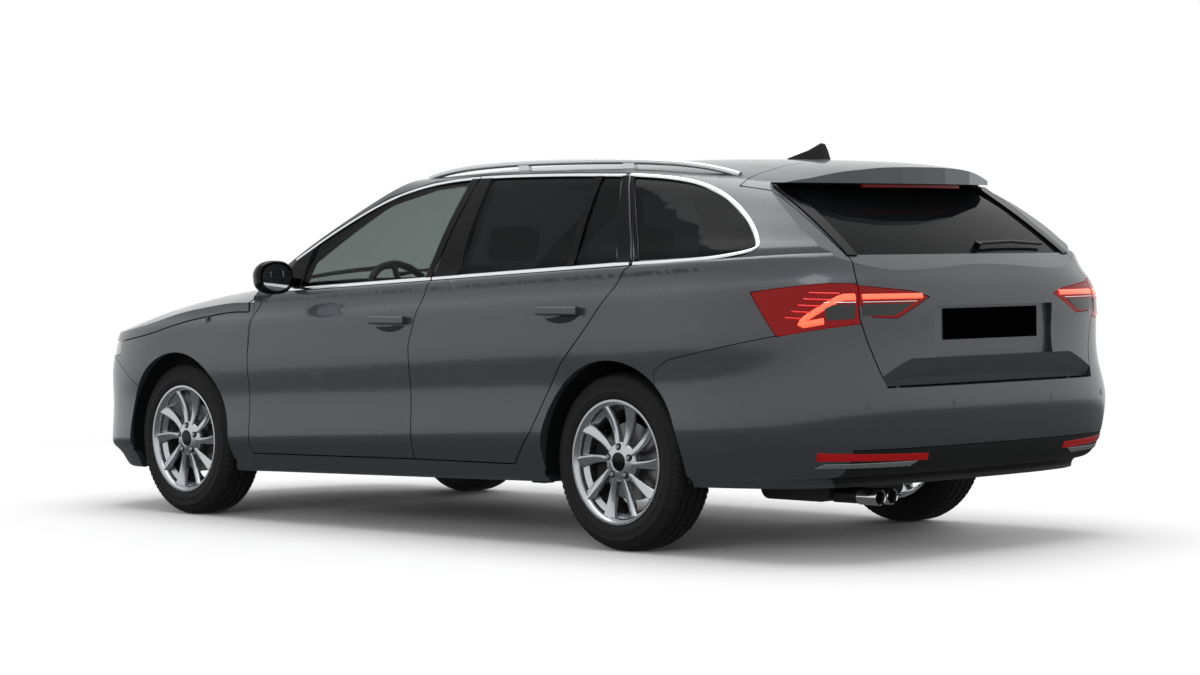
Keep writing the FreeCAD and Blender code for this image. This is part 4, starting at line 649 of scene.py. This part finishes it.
tip, gate_seam, body_seam = (float(tail_length(turn_at(y, 0.92))) for y in (TIP_Y, GATE_SEAM_Y, BODY_SEAM_Y))
elbow, corner, foot = (float(tail_length(turn)) for turn in (ELBOW_TURN, CORNER_TURN, FOOT_TURN))
red_lens = finish_of("red_acrylic_lens", "#380204", 0.0, 0.07, gloss=0.2, glow=("#c40906", 0.3))
tree, shader = shader_of(red_lens)
ribs = laid_on(tree, "TexWave", {"bands_direction": "Z", "Scale": LENS_RIBS})
raised(tree, shader, ribs["Fac"], 0.25, 0.0006)
coat_nodes(red_lens, "tail_lamps", "tailgate_lamps")

light_guide = finish_of("lit_red_light_guide", "#ff5a3c", 0.0, 0.2, 0.6, glow=("#ff4a30", 1.5))
body_guide = softened([(body_seam, GUIDE_HEIGHT), (elbow, GUIDE_HEIGHT), (corner, CORNER_HEIGHT),
                       (foot, FOOT_HEIGHT)], 2)
body_guide_form = moulding(lamp_face, body_guide, GUIDE_BREADTH, 0.0045, 0.001)
add_pair("tail_light_guide", body_guide_form, light_guide, "car_body")
gate_guide = straight(tip, gate_seam, GUIDE_HEIGHT, GUIDE_HEIGHT, 12)
gate_guide_form = moulding(lamp_face, gate_guide, GUIDE_BREADTH * 0.8, 0.0045, 0.001)
add_pair("gate_light_guide", gate_guide_form, light_guide, "tailgate_body")
dim_guide = finish_of("dim_red_light_guide", "#c81e1c", 0.0, 0.2, 0.6, glow=("#d01a18", 0.7))
for number in range(5):
    height = 0.934 - 0.021 * number
    start = elbow + (GUIDE_HEIGHT - height) / (GUIDE_HEIGHT - CORNER_HEIGHT) * (corner - elbow) + 0.012
    length = 0.105 - 0.012 * number
    path = straight(start, start + length, height, height + 0.004, 8)
    line = moulding(lamp_face, path, 0.0045, 0.0035, 0.001)
    add_pair("tail_light_line_%d" % number, line, dim_guide, "car_body")
smoked_clear = finish_of("smoked_clear_acrylic", "#131517", 0.0, 0.08, gloss=0.5, grain=(0.006, 0.0004))
dark_body = [(body_seam, 0.846), (foot - 0.012, 0.842), (foot + 0.004, 0.896), (body_seam, 0.896)]
dark_gate = [(tip + 0.045, 0.896), (tip + 0.125, 0.855), (gate_seam, 0.855), (gate_seam, 0.896)]
for part, body, first, last, window in (("gate", "tailgate_body", tip + 0.03, gate_seam, dark_gate),
                                        ("body", "car_body", body_seam, foot + 0.004, dark_body)):
    path = straight(first, last, BRIGHT_HEIGHT, BRIGHT_HEIGHT, 10)
    add_pair(part + "_bright_line", moulding(lamp_face, path, 0.005, 0.004, 0.001), bright_strip, body)
    add_pair("reversing_window_" + part, cover(lamp_face, window, 0.0030, 0.001), smoked_clear, body, 0.0006)


# Number plate: a blank black enamelled aluminium plate in its recess in the tailgate.
plate_black = finish_of("blank_black_plate_enamel", "#020202", 0.0, 0.6, gloss=0.0,
                        grain=(0.03, 0.00004, 0.04))
coat_nodes(plate_black, "number_plate")


# Bumper fittings: parking sensors are small capped discs in the painted skin, and long red
# reflectors of moulded prisms lie low at the corners over the grained black valance.
REFLECTOR_HEIGHT, REFLECTOR_BREADTH = 0.370, 0.032
BLADE = [(0.835, 0.334), (0.800, 0.349), (0.430, 0.349), (0.462, 0.332)]
SENSORS = [(0.27, 0.545), (0.655, 0.545)]
PRISM_SIZE = 0.004
bumper_turn = wrap_maps(0.40)[0]


def bumper_face(length, z, out):
    """The bumper as a sheet wrapped round the tail."""
    return round_end(bumper_turn(length), z, out)


satin_aluminium = finish_of("satin_anodised_aluminium", "#c9cbcd", 1.0, 0.28, grain=(0.002, 0.00003, 0.05))
sensor_paint = finish_of("satin_sensor_cap", "#36383c", 0.4, 0.4, 0.5)
for number, centre in enumerate(SENSORS):
    sensor = button(bumper_face, centre, 0.012, 0.012, 0.0012, 0.003, count=24)
    add_pair("parking_sensor_%d" % number, sensor, sensor_paint, "car_body")
reflector_red = finish_of("moulded_red_reflector", "#8c080c", 0.0, 0.2, gloss=0.25)
tree, shader = shader_of(reflector_red)
prisms = laid_on(tree, "TexVoronoi", {"Scale": 1.0 / PRISM_SIZE})
raised(tree, shader, prisms["Distance"], 0.5, 0.0008)
reflector = straight(0.385, 0.830, REFLECTOR_HEIGHT - 0.006, REFLECTOR_HEIGHT + 0.004, 20)
reflector_form = moulding(bumper_face, reflector, REFLECTOR_BREADTH, 0.006, 0.003)
add_pair("rear_reflector", reflector_form, reflector_red, "car_body")
add_pair("valance_blade", cover(bumper_face, BLADE, 0.004, 0.003, 8, 16), satin_aluminium, "car_body", 0.001)
grained_black = finish_of("grained_black_polypropylene", "#121314", 0.0, 0.5, gloss=0.25,
                          grain=(0.0015, 0.0003, 0.08))
coat_nodes(grained_black, "rear_valance", "wheel_liners")


# Exhaust: aluminised steel pipe and silencer, with two polished stainless sleeves at the end.
PIPE_YS, PIPE_Z, PIPE_RADIUS = (0.440, 0.504), 0.220, 0.026


def turned(profile, axis, count=64):
    """A closed profile of (radius, place along the axis) carried round; the axis is 0 for X and 1 for Y."""
    radius, along = np.asarray(profile, float).T
    angle = np.linspace(0, 2 * math.pi, count, endpoint=False)[:, None]
    parts = [along + 0 * angle, radius * np.cos(angle), radius * np.sin(angle)]
    points = np.stack(parts if axis == 0 else [parts[2], parts[0], parts[1]], -1)
    return points.reshape(-1, 3), grid_faces(count, len(radius), True, True)


dull_steel = finish_of("aluminised_steel", "#3b3a39", 0.9, 0.5, grain=(0.02, 0.0002, 0.1))
coat_nodes(dull_steel, "exhaust")
polished_steel = finish_of("polished_stainless_steel", "#d5d6d7", 1.0, 0.12, grain=(0.01, 0.00002, 0.04))
sleeve = [(PIPE_RADIUS + 0.0005, -2.10), (PIPE_RADIUS + 0.003, -2.10), (PIPE_RADIUS + 0.0035, -2.186),
          (PIPE_RADIUS + 0.001, -2.190), (PIPE_RADIUS - 0.0015, -2.187), (PIPE_RADIUS + 0.0005, -2.182)]
for number, y in enumerate(PIPE_YS):
    points, faces = turned(sleeve, 0)
    add_form("exhaust_sleeve_%d" % number, (points + (0, y, PIPE_Z), faces), polished_steel, "car_body")


# Tyres: black rubber moulded round a carcass, with four grooves round the tread, cross slots in
# the shoulders and fine rings on the bare sidewall.
WHEELS = (("front", 1.455), ("rear", -1.231))
WHEEL_Y, WHEEL_Z = 0.768, 0.326
SEAT_RADIUS, RIM_HALF = 0.2163, 0.0837
TREAD_BLOCKS = 84
wall = [(SEAT_RADIUS, RIM_HALF - 0.024), (SEAT_RADIUS, RIM_HALF - 0.0005), (0.2275, RIM_HALF + 0.003),
        (0.231, RIM_HALF + 0.010), (0.238, 0.0985), (0.246, 0.1008), (0.256, 0.1018), (0.2575, 0.1025),
        (0.259, 0.1018), (0.266, 0.1025), (0.284, 0.0995), (0.2855, 0.1003), (0.287, 0.0990),
        (0.300, 0.0915), (0.309, 0.0865), (0.3145, 0.0835), (0.320, 0.0755), (0.3235, 0.0640)]
grooves = [(0.3250, 0.0580), (0.3190, 0.0572), (0.3190, 0.0522), (0.3255, 0.0514),
           (0.3258, 0.0240), (0.3190, 0.0232), (0.3190, 0.0172), (0.3260, 0.0164)]
hollow = [(0.310, 0.050), (0.300, 0.078), (0.276, 0.088), (0.250, 0.090), (0.232, RIM_HALF - 0.010),
          (0.2230, RIM_HALF - 0.022)]
tread = wall + grooves
outside = tread + [(r, -y) for r, y in reversed(tread)]
tyre_loop = np.array(outside + [(r, -y) for r, y in reversed(hollow)] + hollow)
loop_radius, loop_y = tyre_loop.T
slot_depth = 0.005 * ((loop_radius > 0.308) & (np.abs(loop_y) > 0.058))
slot_depth = slot_depth + 0.0025 * ((loop_radius > 0.3249) & (np.abs(loop_y) < 0.053))
turn = np.linspace(0, 2 * math.pi, 4 * TREAD_BLOCKS, endpoint=False)[:, None]
slotted = (np.arange(4 * TREAD_BLOCKS) % 4 == 0)[:, None]
radius = loop_radius - slotted * slot_depth
tyre_points = np.stack([radius * np.cos(turn), loop_y + 0 * turn, radius * np.sin(turn)], -1)
tyre_form = (tyre_points.reshape(-1, 3), grid_faces(4 * TREAD_BLOCKS, len(tyre_loop), True, True))
tyre_rubber = finish_of("moulded_tyre_rubber", "#131314", 0.0, 0.68, gloss=0.25, grain=(0.002, 0.0002, 0.08))


def add_wheels(kind, form, material, replaced=None):
    """The same piece at all four wheels, mirrored on the right, in place of a CAD node if one is named."""
    points, faces = form
    for axle, x in WHEELS:
        for side, sign in (("left", 1), ("right", -1)):
            corner = axle + "_" + side
            placed = (points + (0, WHEEL_Y, 0)) * (1, sign, 1) + (x, 0, WHEEL_Z)
            piece = add_form(kind + "_" + corner, (placed, faces), material, "wheel_" + corner)
            if replaced:
                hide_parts(replaced + "_" + corner)


add_wheels("tread_tyre", tyre_form, tyre_rubber, "tyre")


# Road wheels: cast aluminium, five pairs of broad spokes that twist as they widen to the rim,
# silver lacquered, with a bare centre cap and five bolts in wells whose shade is painted on dark discs.
HUB_FACE, SPOKE_ROOT, SPOKE_TIP = 0.046, 0.046, 0.209
SPOKE_HALF_WIDTH, SPOKE_WIDENS, SPOKE_HALF_DEPTH, SPOKE_THINS = 0.011, 0.0125, 0.014, 0.002
SPOKE_DISH, SPOKE_ROUNDING = 0.010, 0.45
BOLT_CIRCLE = 0.056
barrel = [(0.229, 0.097), (0.227, 0.088), (0.216, 0.084), (0.216, 0.059), (0.200, 0.045), (0.200, 0.001),
          (0.216, -0.043), (0.216, -0.084), (0.227, -0.088), (0.229, -0.097), (0.220, -0.097),
          (0.207, -0.079), (0.207, -0.045), (0.191, -0.001), (0.191, 0.047), (0.207, 0.063),
          (0.207, 0.077), (0.213, 0.090), (0.221, 0.097)]
alloy = finish_of("silver_lacquered_alloy", "#b9bcc0", 0.95, 0.26, 0.7, grain=(0.01, 0.00005, 0.05))
add_wheels("rim_barrel", turned(barrel, 1, 96), alloy, "rim")


def power(value, exponent):
    """A power that keeps the value's sign."""
    return np.sign(value) * np.abs(value) ** exponent


def spoke(start, end, twist):
    """A bar out from the hub: a flat section widens and twists as its middle swings from start to end."""
    rows, count = 18, 20
    t = np.concatenate([[0.0], np.linspace(0, 1, rows), [1.0]])[:, None]
    whole = np.concatenate([[0.0], np.ones(rows), [0.0]])[:, None]
    around = np.linspace(0, 2 * math.pi, count, endpoint=False)[None, :]
    c, s = np.cos(around), np.sin(around)
    across = (SPOKE_HALF_WIDTH + SPOKE_WIDENS * t**1.5) * whole * power(c, SPOKE_ROUNDING)
    depth = (SPOKE_HALF_DEPTH - SPOKE_THINS * t) * whole * power(s, SPOKE_ROUNDING)
    lean = twist * t**1.2
    across, depth = (across * np.cos(lean) - depth * np.sin(lean),
                     across * np.sin(lean) + depth * np.cos(lean))
    reach = SPOKE_ROOT + (SPOKE_TIP - SPOKE_ROOT) * t
    swing = start + (end - start) * t
    x = reach * np.sin(swing) + across * np.cos(swing)
    z = reach * np.cos(swing) - across * np.sin(swing)
    y = HUB_FACE + 0.020 - SPOKE_DISH * np.sin(math.pi * t) + 0.004 * t + depth
    return np.stack([x, y, z], -1).reshape(-1, 3), grid_faces(rows + 2, count, closed_columns=True)


def five_times(form):
    """A form and its four copies, turned evenly round the wheel's axle."""
    points, faces = form
    turns = np.radians(72.0 * np.arange(5))[:, None]
    x = points[:, 0] * np.cos(turns) + points[:, 2] * np.sin(turns)
    z = points[:, 2] * np.cos(turns) - points[:, 0] * np.sin(turns)
    copies = np.stack([x, points[:, 1] + 0 * turns, z], -1).reshape(-1, 3)
    return copies, np.concatenate([faces + k * len(points) for k in range(5)])


for name, degrees in (("leading_spokes", (-24, -16, 30)), ("trailing_spokes", (8, 20, -30))):
    add_wheels(name, five_times(spoke(*(math.radians(angle) for angle in degrees))), alloy)
hub = [(0.0, HUB_FACE), (0.078, HUB_FACE), (0.078, 0.060), (0.072, 0.072), (0.060, 0.0795), (0.036, 0.0815),
       (0.033, 0.079), (0.033, 0.070), (0.0, 0.070)]
add_wheels("wheel_hub", turned(hub, 1, 80), alloy)
cap = [(0.0, 0.070), (0.0325, 0.070), (0.0325, 0.0800), (0.0300, 0.0825), (0.0290, 0.0815), (0.015, 0.0820),
       (0.0, 0.0820)]
add_wheels("centre_cap", turned(cap, 1, 64), gloss_black)


def on_bolt_circle(profile, count):
    """A turned profile set on the bolt circle, five times."""
    points, faces = turned(profile, 1, count)
    return five_times((points + (0, 0, BOLT_CIRCLE), faces))


# painted shade: dark discs laid on the hub stand for the shaded bolt wells
bolt_well_painted_shade = finish_of("painted_shade_bolt_well", "#1c1d1f", 0.4, 0.5)
well = [(0.0, 0.070), (0.0135, 0.070), (0.0135, 0.0808), (0.0125, 0.0812), (0.0, 0.0812)]
add_wheels("bolt_wells", on_bolt_circle(well, 24), bolt_well_painted_shade)
bolt = [(0.0, 0.074), (0.0085, 0.074), (0.0085, 0.0845), (0.0070, 0.0865), (0.0, 0.0865)]
zinc = finish_of("zinc_plated_bolt_steel", "#a9abae", 1.0, 0.3)
add_wheels("wheel_bolts", on_bolt_circle(bolt, 6), zinc)


# Brakes and running gear: ground cast iron discs behind the spokes; knuckles, arms, beam and tank
# are cast or pressed and painted black.
ground_iron = finish_of("ground_cast_iron", "#7b7b7c", 0.95, 0.32, grain=(0.003, 0.0001, 0.08))
coat_nodes(ground_iron, "brake_disc_front_left", "brake_disc_front_right", "brake_disc_rear_left",
           "brake_disc_rear_right", "engine_block")
chassis_black = finish_of("black_chassis_coating", "#101010", 0.0, 0.48, gloss=0.25,
                          grain=(0.006, 0.0004, 0.1))
coat_nodes(chassis_black, "front_frame", "bulkhead", "floor_pan", "front_suspension", "rear_axle",
           "fuel_tank", "knuckle_left", "knuckle_right")


# Headlamps: a smoked clear lens wraps each front corner; two domed projectors and a white
# daytime guide along the lower edge show through it.
HEAD_GUIDE = [(0.446, 0.690), (0.560, 0.678), (0.720, 0.672), (0.860, 0.694)]
PROJECTORS = [(0.535, 0.722), (0.655, 0.728)]
head_turn = wrap_maps(0.71, True)[0]


def head_face(length, z, out):
    """The nose as a sheet wrapped round it."""
    return round_end(head_turn(length), z, out, True)


smoked_lens = finish_of("smoked_polycarbonate_lens", "#2a2d30", 0.2, 0.06, 1.0, grain=(0.012, 0.0001))
coat_nodes(smoked_lens, "headlamps")
daylight = finish_of("white_daytime_light_guide", "#f2f6f8", 0.0, 0.15, 0.5, glow=("#f2f6fa", 0.9))
daytime_form = moulding(head_face, softened(HEAD_GUIDE), 0.010, 0.0045, 0.001)
add_pair("daytime_guide", daytime_form, daylight, "car_body")
projector_glass = finish_of("domed_projector_glass", "#9fb0b8", 0.6, 0.04, 1.0)
for number, centre in enumerate(PROJECTORS):
    ring = button(head_face, centre, 0.030, 0.027, 0.0035, 0.001)
    add_pair("projector_ring_%d" % number, ring, bright_strip, "car_body")
    lens = button(head_face, centre, 0.025, 0.022, 0.0040, 0.0, 0.005)
    add_pair("projector_lens_%d" % number, lens, projector_glass, "car_body")


# Grille: moulded gloss black bars under a bright upper strip, with slim upright ribs behind.
RIB_COUNT, RIB_BREADTH = 25, 0.006


def nose_front(y, z, out):
    """The nose as a surface of (y, z), from the plan outline turned round, moved straight ahead."""
    y, z, out = np.broadcast_arrays(np.asarray(y, float), np.asarray(z, float), np.asarray(out, float))
    x = np.full(y.shape, 2.3)
    for _ in range(4):
        height = level_of(x, z)
        share = 1 - np.abs(y / level_width(height)) ** NOSE_POWERS[0]
        x = level_nose(height) * share ** (1 / NOSE_POWERS[1])
    return np.stack([x + out, y, z], -1)


for number, y in enumerate(np.linspace(-0.352, 0.352, RIB_COUNT)):
    corners = [(y, 0.606), (y + RIB_BREADTH, 0.606), (y + RIB_BREADTH, 0.722), (y, 0.722)]
    rib = cover(nose_front, corners, -0.021, 0.038, 8, 2)
    add_form("grille_rib_%02d" % number, rib, gloss_black, "car_body", 0.0008)
lip = straight(-0.392, 0.392, 0.7345, 0.7345, 40)
add_form("grille_lip", moulding(nose_front, lip, 0.010, 0.004, 0.002), bright_strip, "car_body")


# Windscreen wipers: pressed steel arms painted black, pivoted under the bonnet's rear edge,
# with rubber blades that rest along the foot of the glass.
SCREEN = np.array([(0.940, 1.152), (0.985, 1.092), (1.126, 0.864), (1.364, 0.388), (1.425, 0.240),
                   (1.500, 0.040)])
SCREEN_BOW, SCREEN_HALF = 0.150, 0.745
WIPERS = (("driver", [(0.60, 0.978), (0.47, 1.012), (0.05, 1.046)],
           [(0.58, 1.002), (0.30, 1.030), (-0.02, 1.050)]),
          ("passenger", [(-0.02, 1.000), (-0.15, 1.030), (-0.50, 1.030)],
           [(0.00, 1.018), (-0.25, 1.040), (-0.60, 1.016)]))
# each part's name, distance from the glass and radius
WIPER_PARTS = (("_wiper_arm", 0.016, 0.007), ("_wiper_blade", 0.006, 0.006))
screen_x = curve_through(SCREEN[:, 0], SCREEN[:, 1])


def screen_face(y, z, out):
    """The windscreen as a surface of (y, z)."""
    return leaning_pane(screen_x, SCREEN_BOW, SCREEN_HALF, 1, y, z, out)


def tube(path, radius, count=12):
    """A round bar along a path, closed at both ends: rings square to the way the path runs."""
    path = np.asarray(path, float)
    along = unit(np.gradient(path, axis=0))
    aside = unit(np.cross(along, (0.3, 0.0, 1.0)))
    above = np.cross(aside, along)
    turn = np.linspace(0, 2 * math.pi, count, endpoint=False)[None, :, None]
    ring = radius * (aside[:, None] * np.cos(turn) + above[:, None] * np.sin(turn))
    points = path[:, None] + ring
    points = np.concatenate([path[:1, None] + 0 * ring[:1], points, path[-1:, None] + 0 * ring[-1:]])
    return points.reshape(-1, 3), grid_faces(len(path) + 2, count, closed_columns=True)


wiper_black = finish_of("black_painted_wiper_steel", "#111112", 0.0, 0.4)
for name, *paths in WIPERS:
    for (part, out, radius), path in zip(WIPER_PARTS, paths):
        y, z = softened(path).T
        add_form(name + part, tube(screen_face(y, z, out), radius), wiper_black, "car_body")


# Roof rails: extruded aluminium bars, satin anodised, on short feet along each side of the roof.
coat_nodes(satin_aluminium, "roof_rails")


# Seats: moulded foam on steel frames, covered in woven cloth that is sewn in panels, with raised
# bolsters at the sides; head restraints stand on two steel posts.
SEAT_GREY = "#2b2c30"
THREAD = 0.0012
PAD_CROWN, BOLSTER, SEAM_HALF, SEAM_DEPTH = 0.2, 0.016, 0.005, 0.006
SIDE_SEAM, CROSS_SEAMS = 0.62, (-0.6, 0.0, 0.6)
# half length, half depth and tilt of each pad
CUSHION = (0.235, 0.048, 0.10)
BACKREST = (0.292, 0.046, math.radians(107))
HEAD = (0.068, 0.034, math.radians(105))
FRONT_SEAT_Y, SEAT_UNDERSIDE = 0.372, 0.2625
seat_cloth = finish_of("woven_seat_cloth", SEAT_GREY, 0.0, 0.88)
tree, shader = shader_of(seat_cloth)
shader.inputs["Sheen Weight"].default_value = 0.3
# threads of 0.4 mm are drawn at 1.2 mm so that the weave shows
weft, warp = (laid_on(tree, "TexWave", {"bands_direction": way, "Scale": WAVE_SPAN / THREAD})["Fac"]
              for way in ("Y", "DIAGONAL"))
weave = add_node(tree, "Math", {"operation": "MULTIPLY", 0: weft, 1: warp})
dye(tree, shader, SEAT_GREY, weave, 0.7, 1.3)
raised(tree, shader, weave, 0.5, 0.0005)


def pad(middle, half_width, proportions, seams=(), bolster=0.0):
    """A stuffed pad: a super-ellipsoid crowned by a fifth, its sides raised as bolsters and its face drawn
    in along sewn lines; length runs along the tilted axis, width across the car, depth square to both."""
    half_length, half_depth, tilt = proportions
    rows, count = 80, 120
    u = np.linspace(-math.pi / 2, math.pi / 2, rows)[:, None]
    v = np.linspace(0, 2 * math.pi, count, endpoint=False)[None, :]
    length = power(np.sin(u), 0.35) + 0 * v
    width = power(np.cos(u), 0.35) * power(np.cos(v), 0.4)
    depth = power(np.cos(u), 0.45) * power(np.sin(v), 0.55)
    out = half_depth * depth * (1 + PAD_CROWN * (1 - width**2) * (1 - length**2))
    out += bolster * np.abs(width) ** 5 * np.maximum(depth, 0)
    channel = sum((np.exp(-((width - seam) * half_width / SEAM_HALF) ** 2) for seam in seams), 0 * width)
    for line in CROSS_SEAMS:
        crossing = np.exp(-((length - line) * half_length / SEAM_HALF) ** 2)
        channel = channel + crossing * (np.abs(width) < SIDE_SEAM)
    out -= SEAM_DEPTH * np.minimum(channel, 1) * (depth > 0.3)
    c, s = math.cos(tilt), math.sin(tilt)
    x = middle[0] + c * length * half_length - s * out
    z = middle[2] + s * length * half_length + c * out
    points = np.stack([x, middle[1] + width * half_width, z], -1)
    return points.reshape(-1, 3), grid_faces(rows, count, closed_columns=True)


def add_pad(name, form, node):
    """A padded piece that stands for a CAD seat."""
    piece = add_form(name, form, seat_cloth, "car_body", crease=180)
    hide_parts(node)


def add_seat(name, node, y, half_width, x, base, heads):
    """Cushion, backrest and head restraints with their posts."""
    seams = (-SIDE_SEAM, SIDE_SEAM)
    cushion = pad((x + 0.235, y, base + 0.066), half_width - 0.006, CUSHION, seams, BOLSTER)
    add_pad(name + "_cushion", cushion, node)
    back = pad((x - 0.070, y, base + 0.385), half_width - 0.008, BACKREST, seams, BOLSTER)
    add_pad(name + "_backrest", back, node)
    for number, (head_y, head_half) in enumerate(heads):
        head = pad((x - 0.176, head_y, base + 0.782), head_half, HEAD)
        add_pad("%s_head_%d" % (name, number), head, node)
        for mark, offset in (("left", head_half / 2), ("right", -head_half / 2)):
            post_y = head_y + offset
            post = np.linspace((x - 0.155, post_y, base + 0.640), (x - 0.172, post_y, base + 0.750), 4)
            add_form("%s_post_%d_%s" % (name, number, mark), tube(post, 0.006), polished_steel, "car_body")


for side, y in (("left", FRONT_SEAT_Y), ("right", -FRONT_SEAT_Y)):
    add_seat("front_seat_" + side, "front_seats", y, 0.255, 0.030, 0.352, [(y, 0.120)])
add_seat("rear_bench", "rear_seat", 0.0, 0.640, -0.770, 0.330, [(0.0, 0.105), (0.39, 0.105), (-0.39, 0.105)])
seat_base = finish_of("moulded_seat_base_plastic", "#1a1b1c", 0.0, 0.55, grain=(0.0015, 0.0003, 0.08))
for name, x0, x1, z1 in (("front", 0.055, 0.440, 0.372), ("rear", -0.735, -0.355, 0.350)):
    plan = patch([(x0, 0.165), (x1, 0.165), (x1, 0.580), (x0, 0.580)], 3, 3)
    under = np.concatenate([plan, np.full(plan.shape[:2] + (1,), SEAT_UNDERSIDE)], -1)
    over = under + (0, 0, z1 - SEAT_UNDERSIDE)
    add_pair("seat_base_" + name, slab(over, under), seat_base, "car_body", 0.01)


# Dashboard and steering wheel: foam-backed skin over a moulded frame, with a glass display
# and a leather wheel rim.
DISPLAY = [(-0.13, 0.865), (0.13, 0.865), (0.13, 1.005), (-0.13, 1.005)]
soft_skin = finish_of("soft_grained_dashboard_skin", "#1d1e20", 0.0, 0.62, grain=(0.0012, 0.0003, 0.06))
coat_nodes(soft_skin, "dashboard")
wheel_leather = finish_of("black_steering_wheel_leather", "#19191a", 0.0, 0.5, grain=(0.002, 0.0004, 0.08))
coat_nodes(wheel_leather, "steering_wheel")
display_glass = finish_of("black_display_glass", "#07080a", 0.0, 0.05, 1.0)
places = patch(DISPLAY, 4, 6)
panel = np.stack([0.668 + 0.25 * (places[..., 1] - 0.865), places[..., 0], places[..., 1]], -1)
add_form("centre_display", slab(panel, panel + (0.012, 0, 0)), display_glass, "car_body", 0.003)
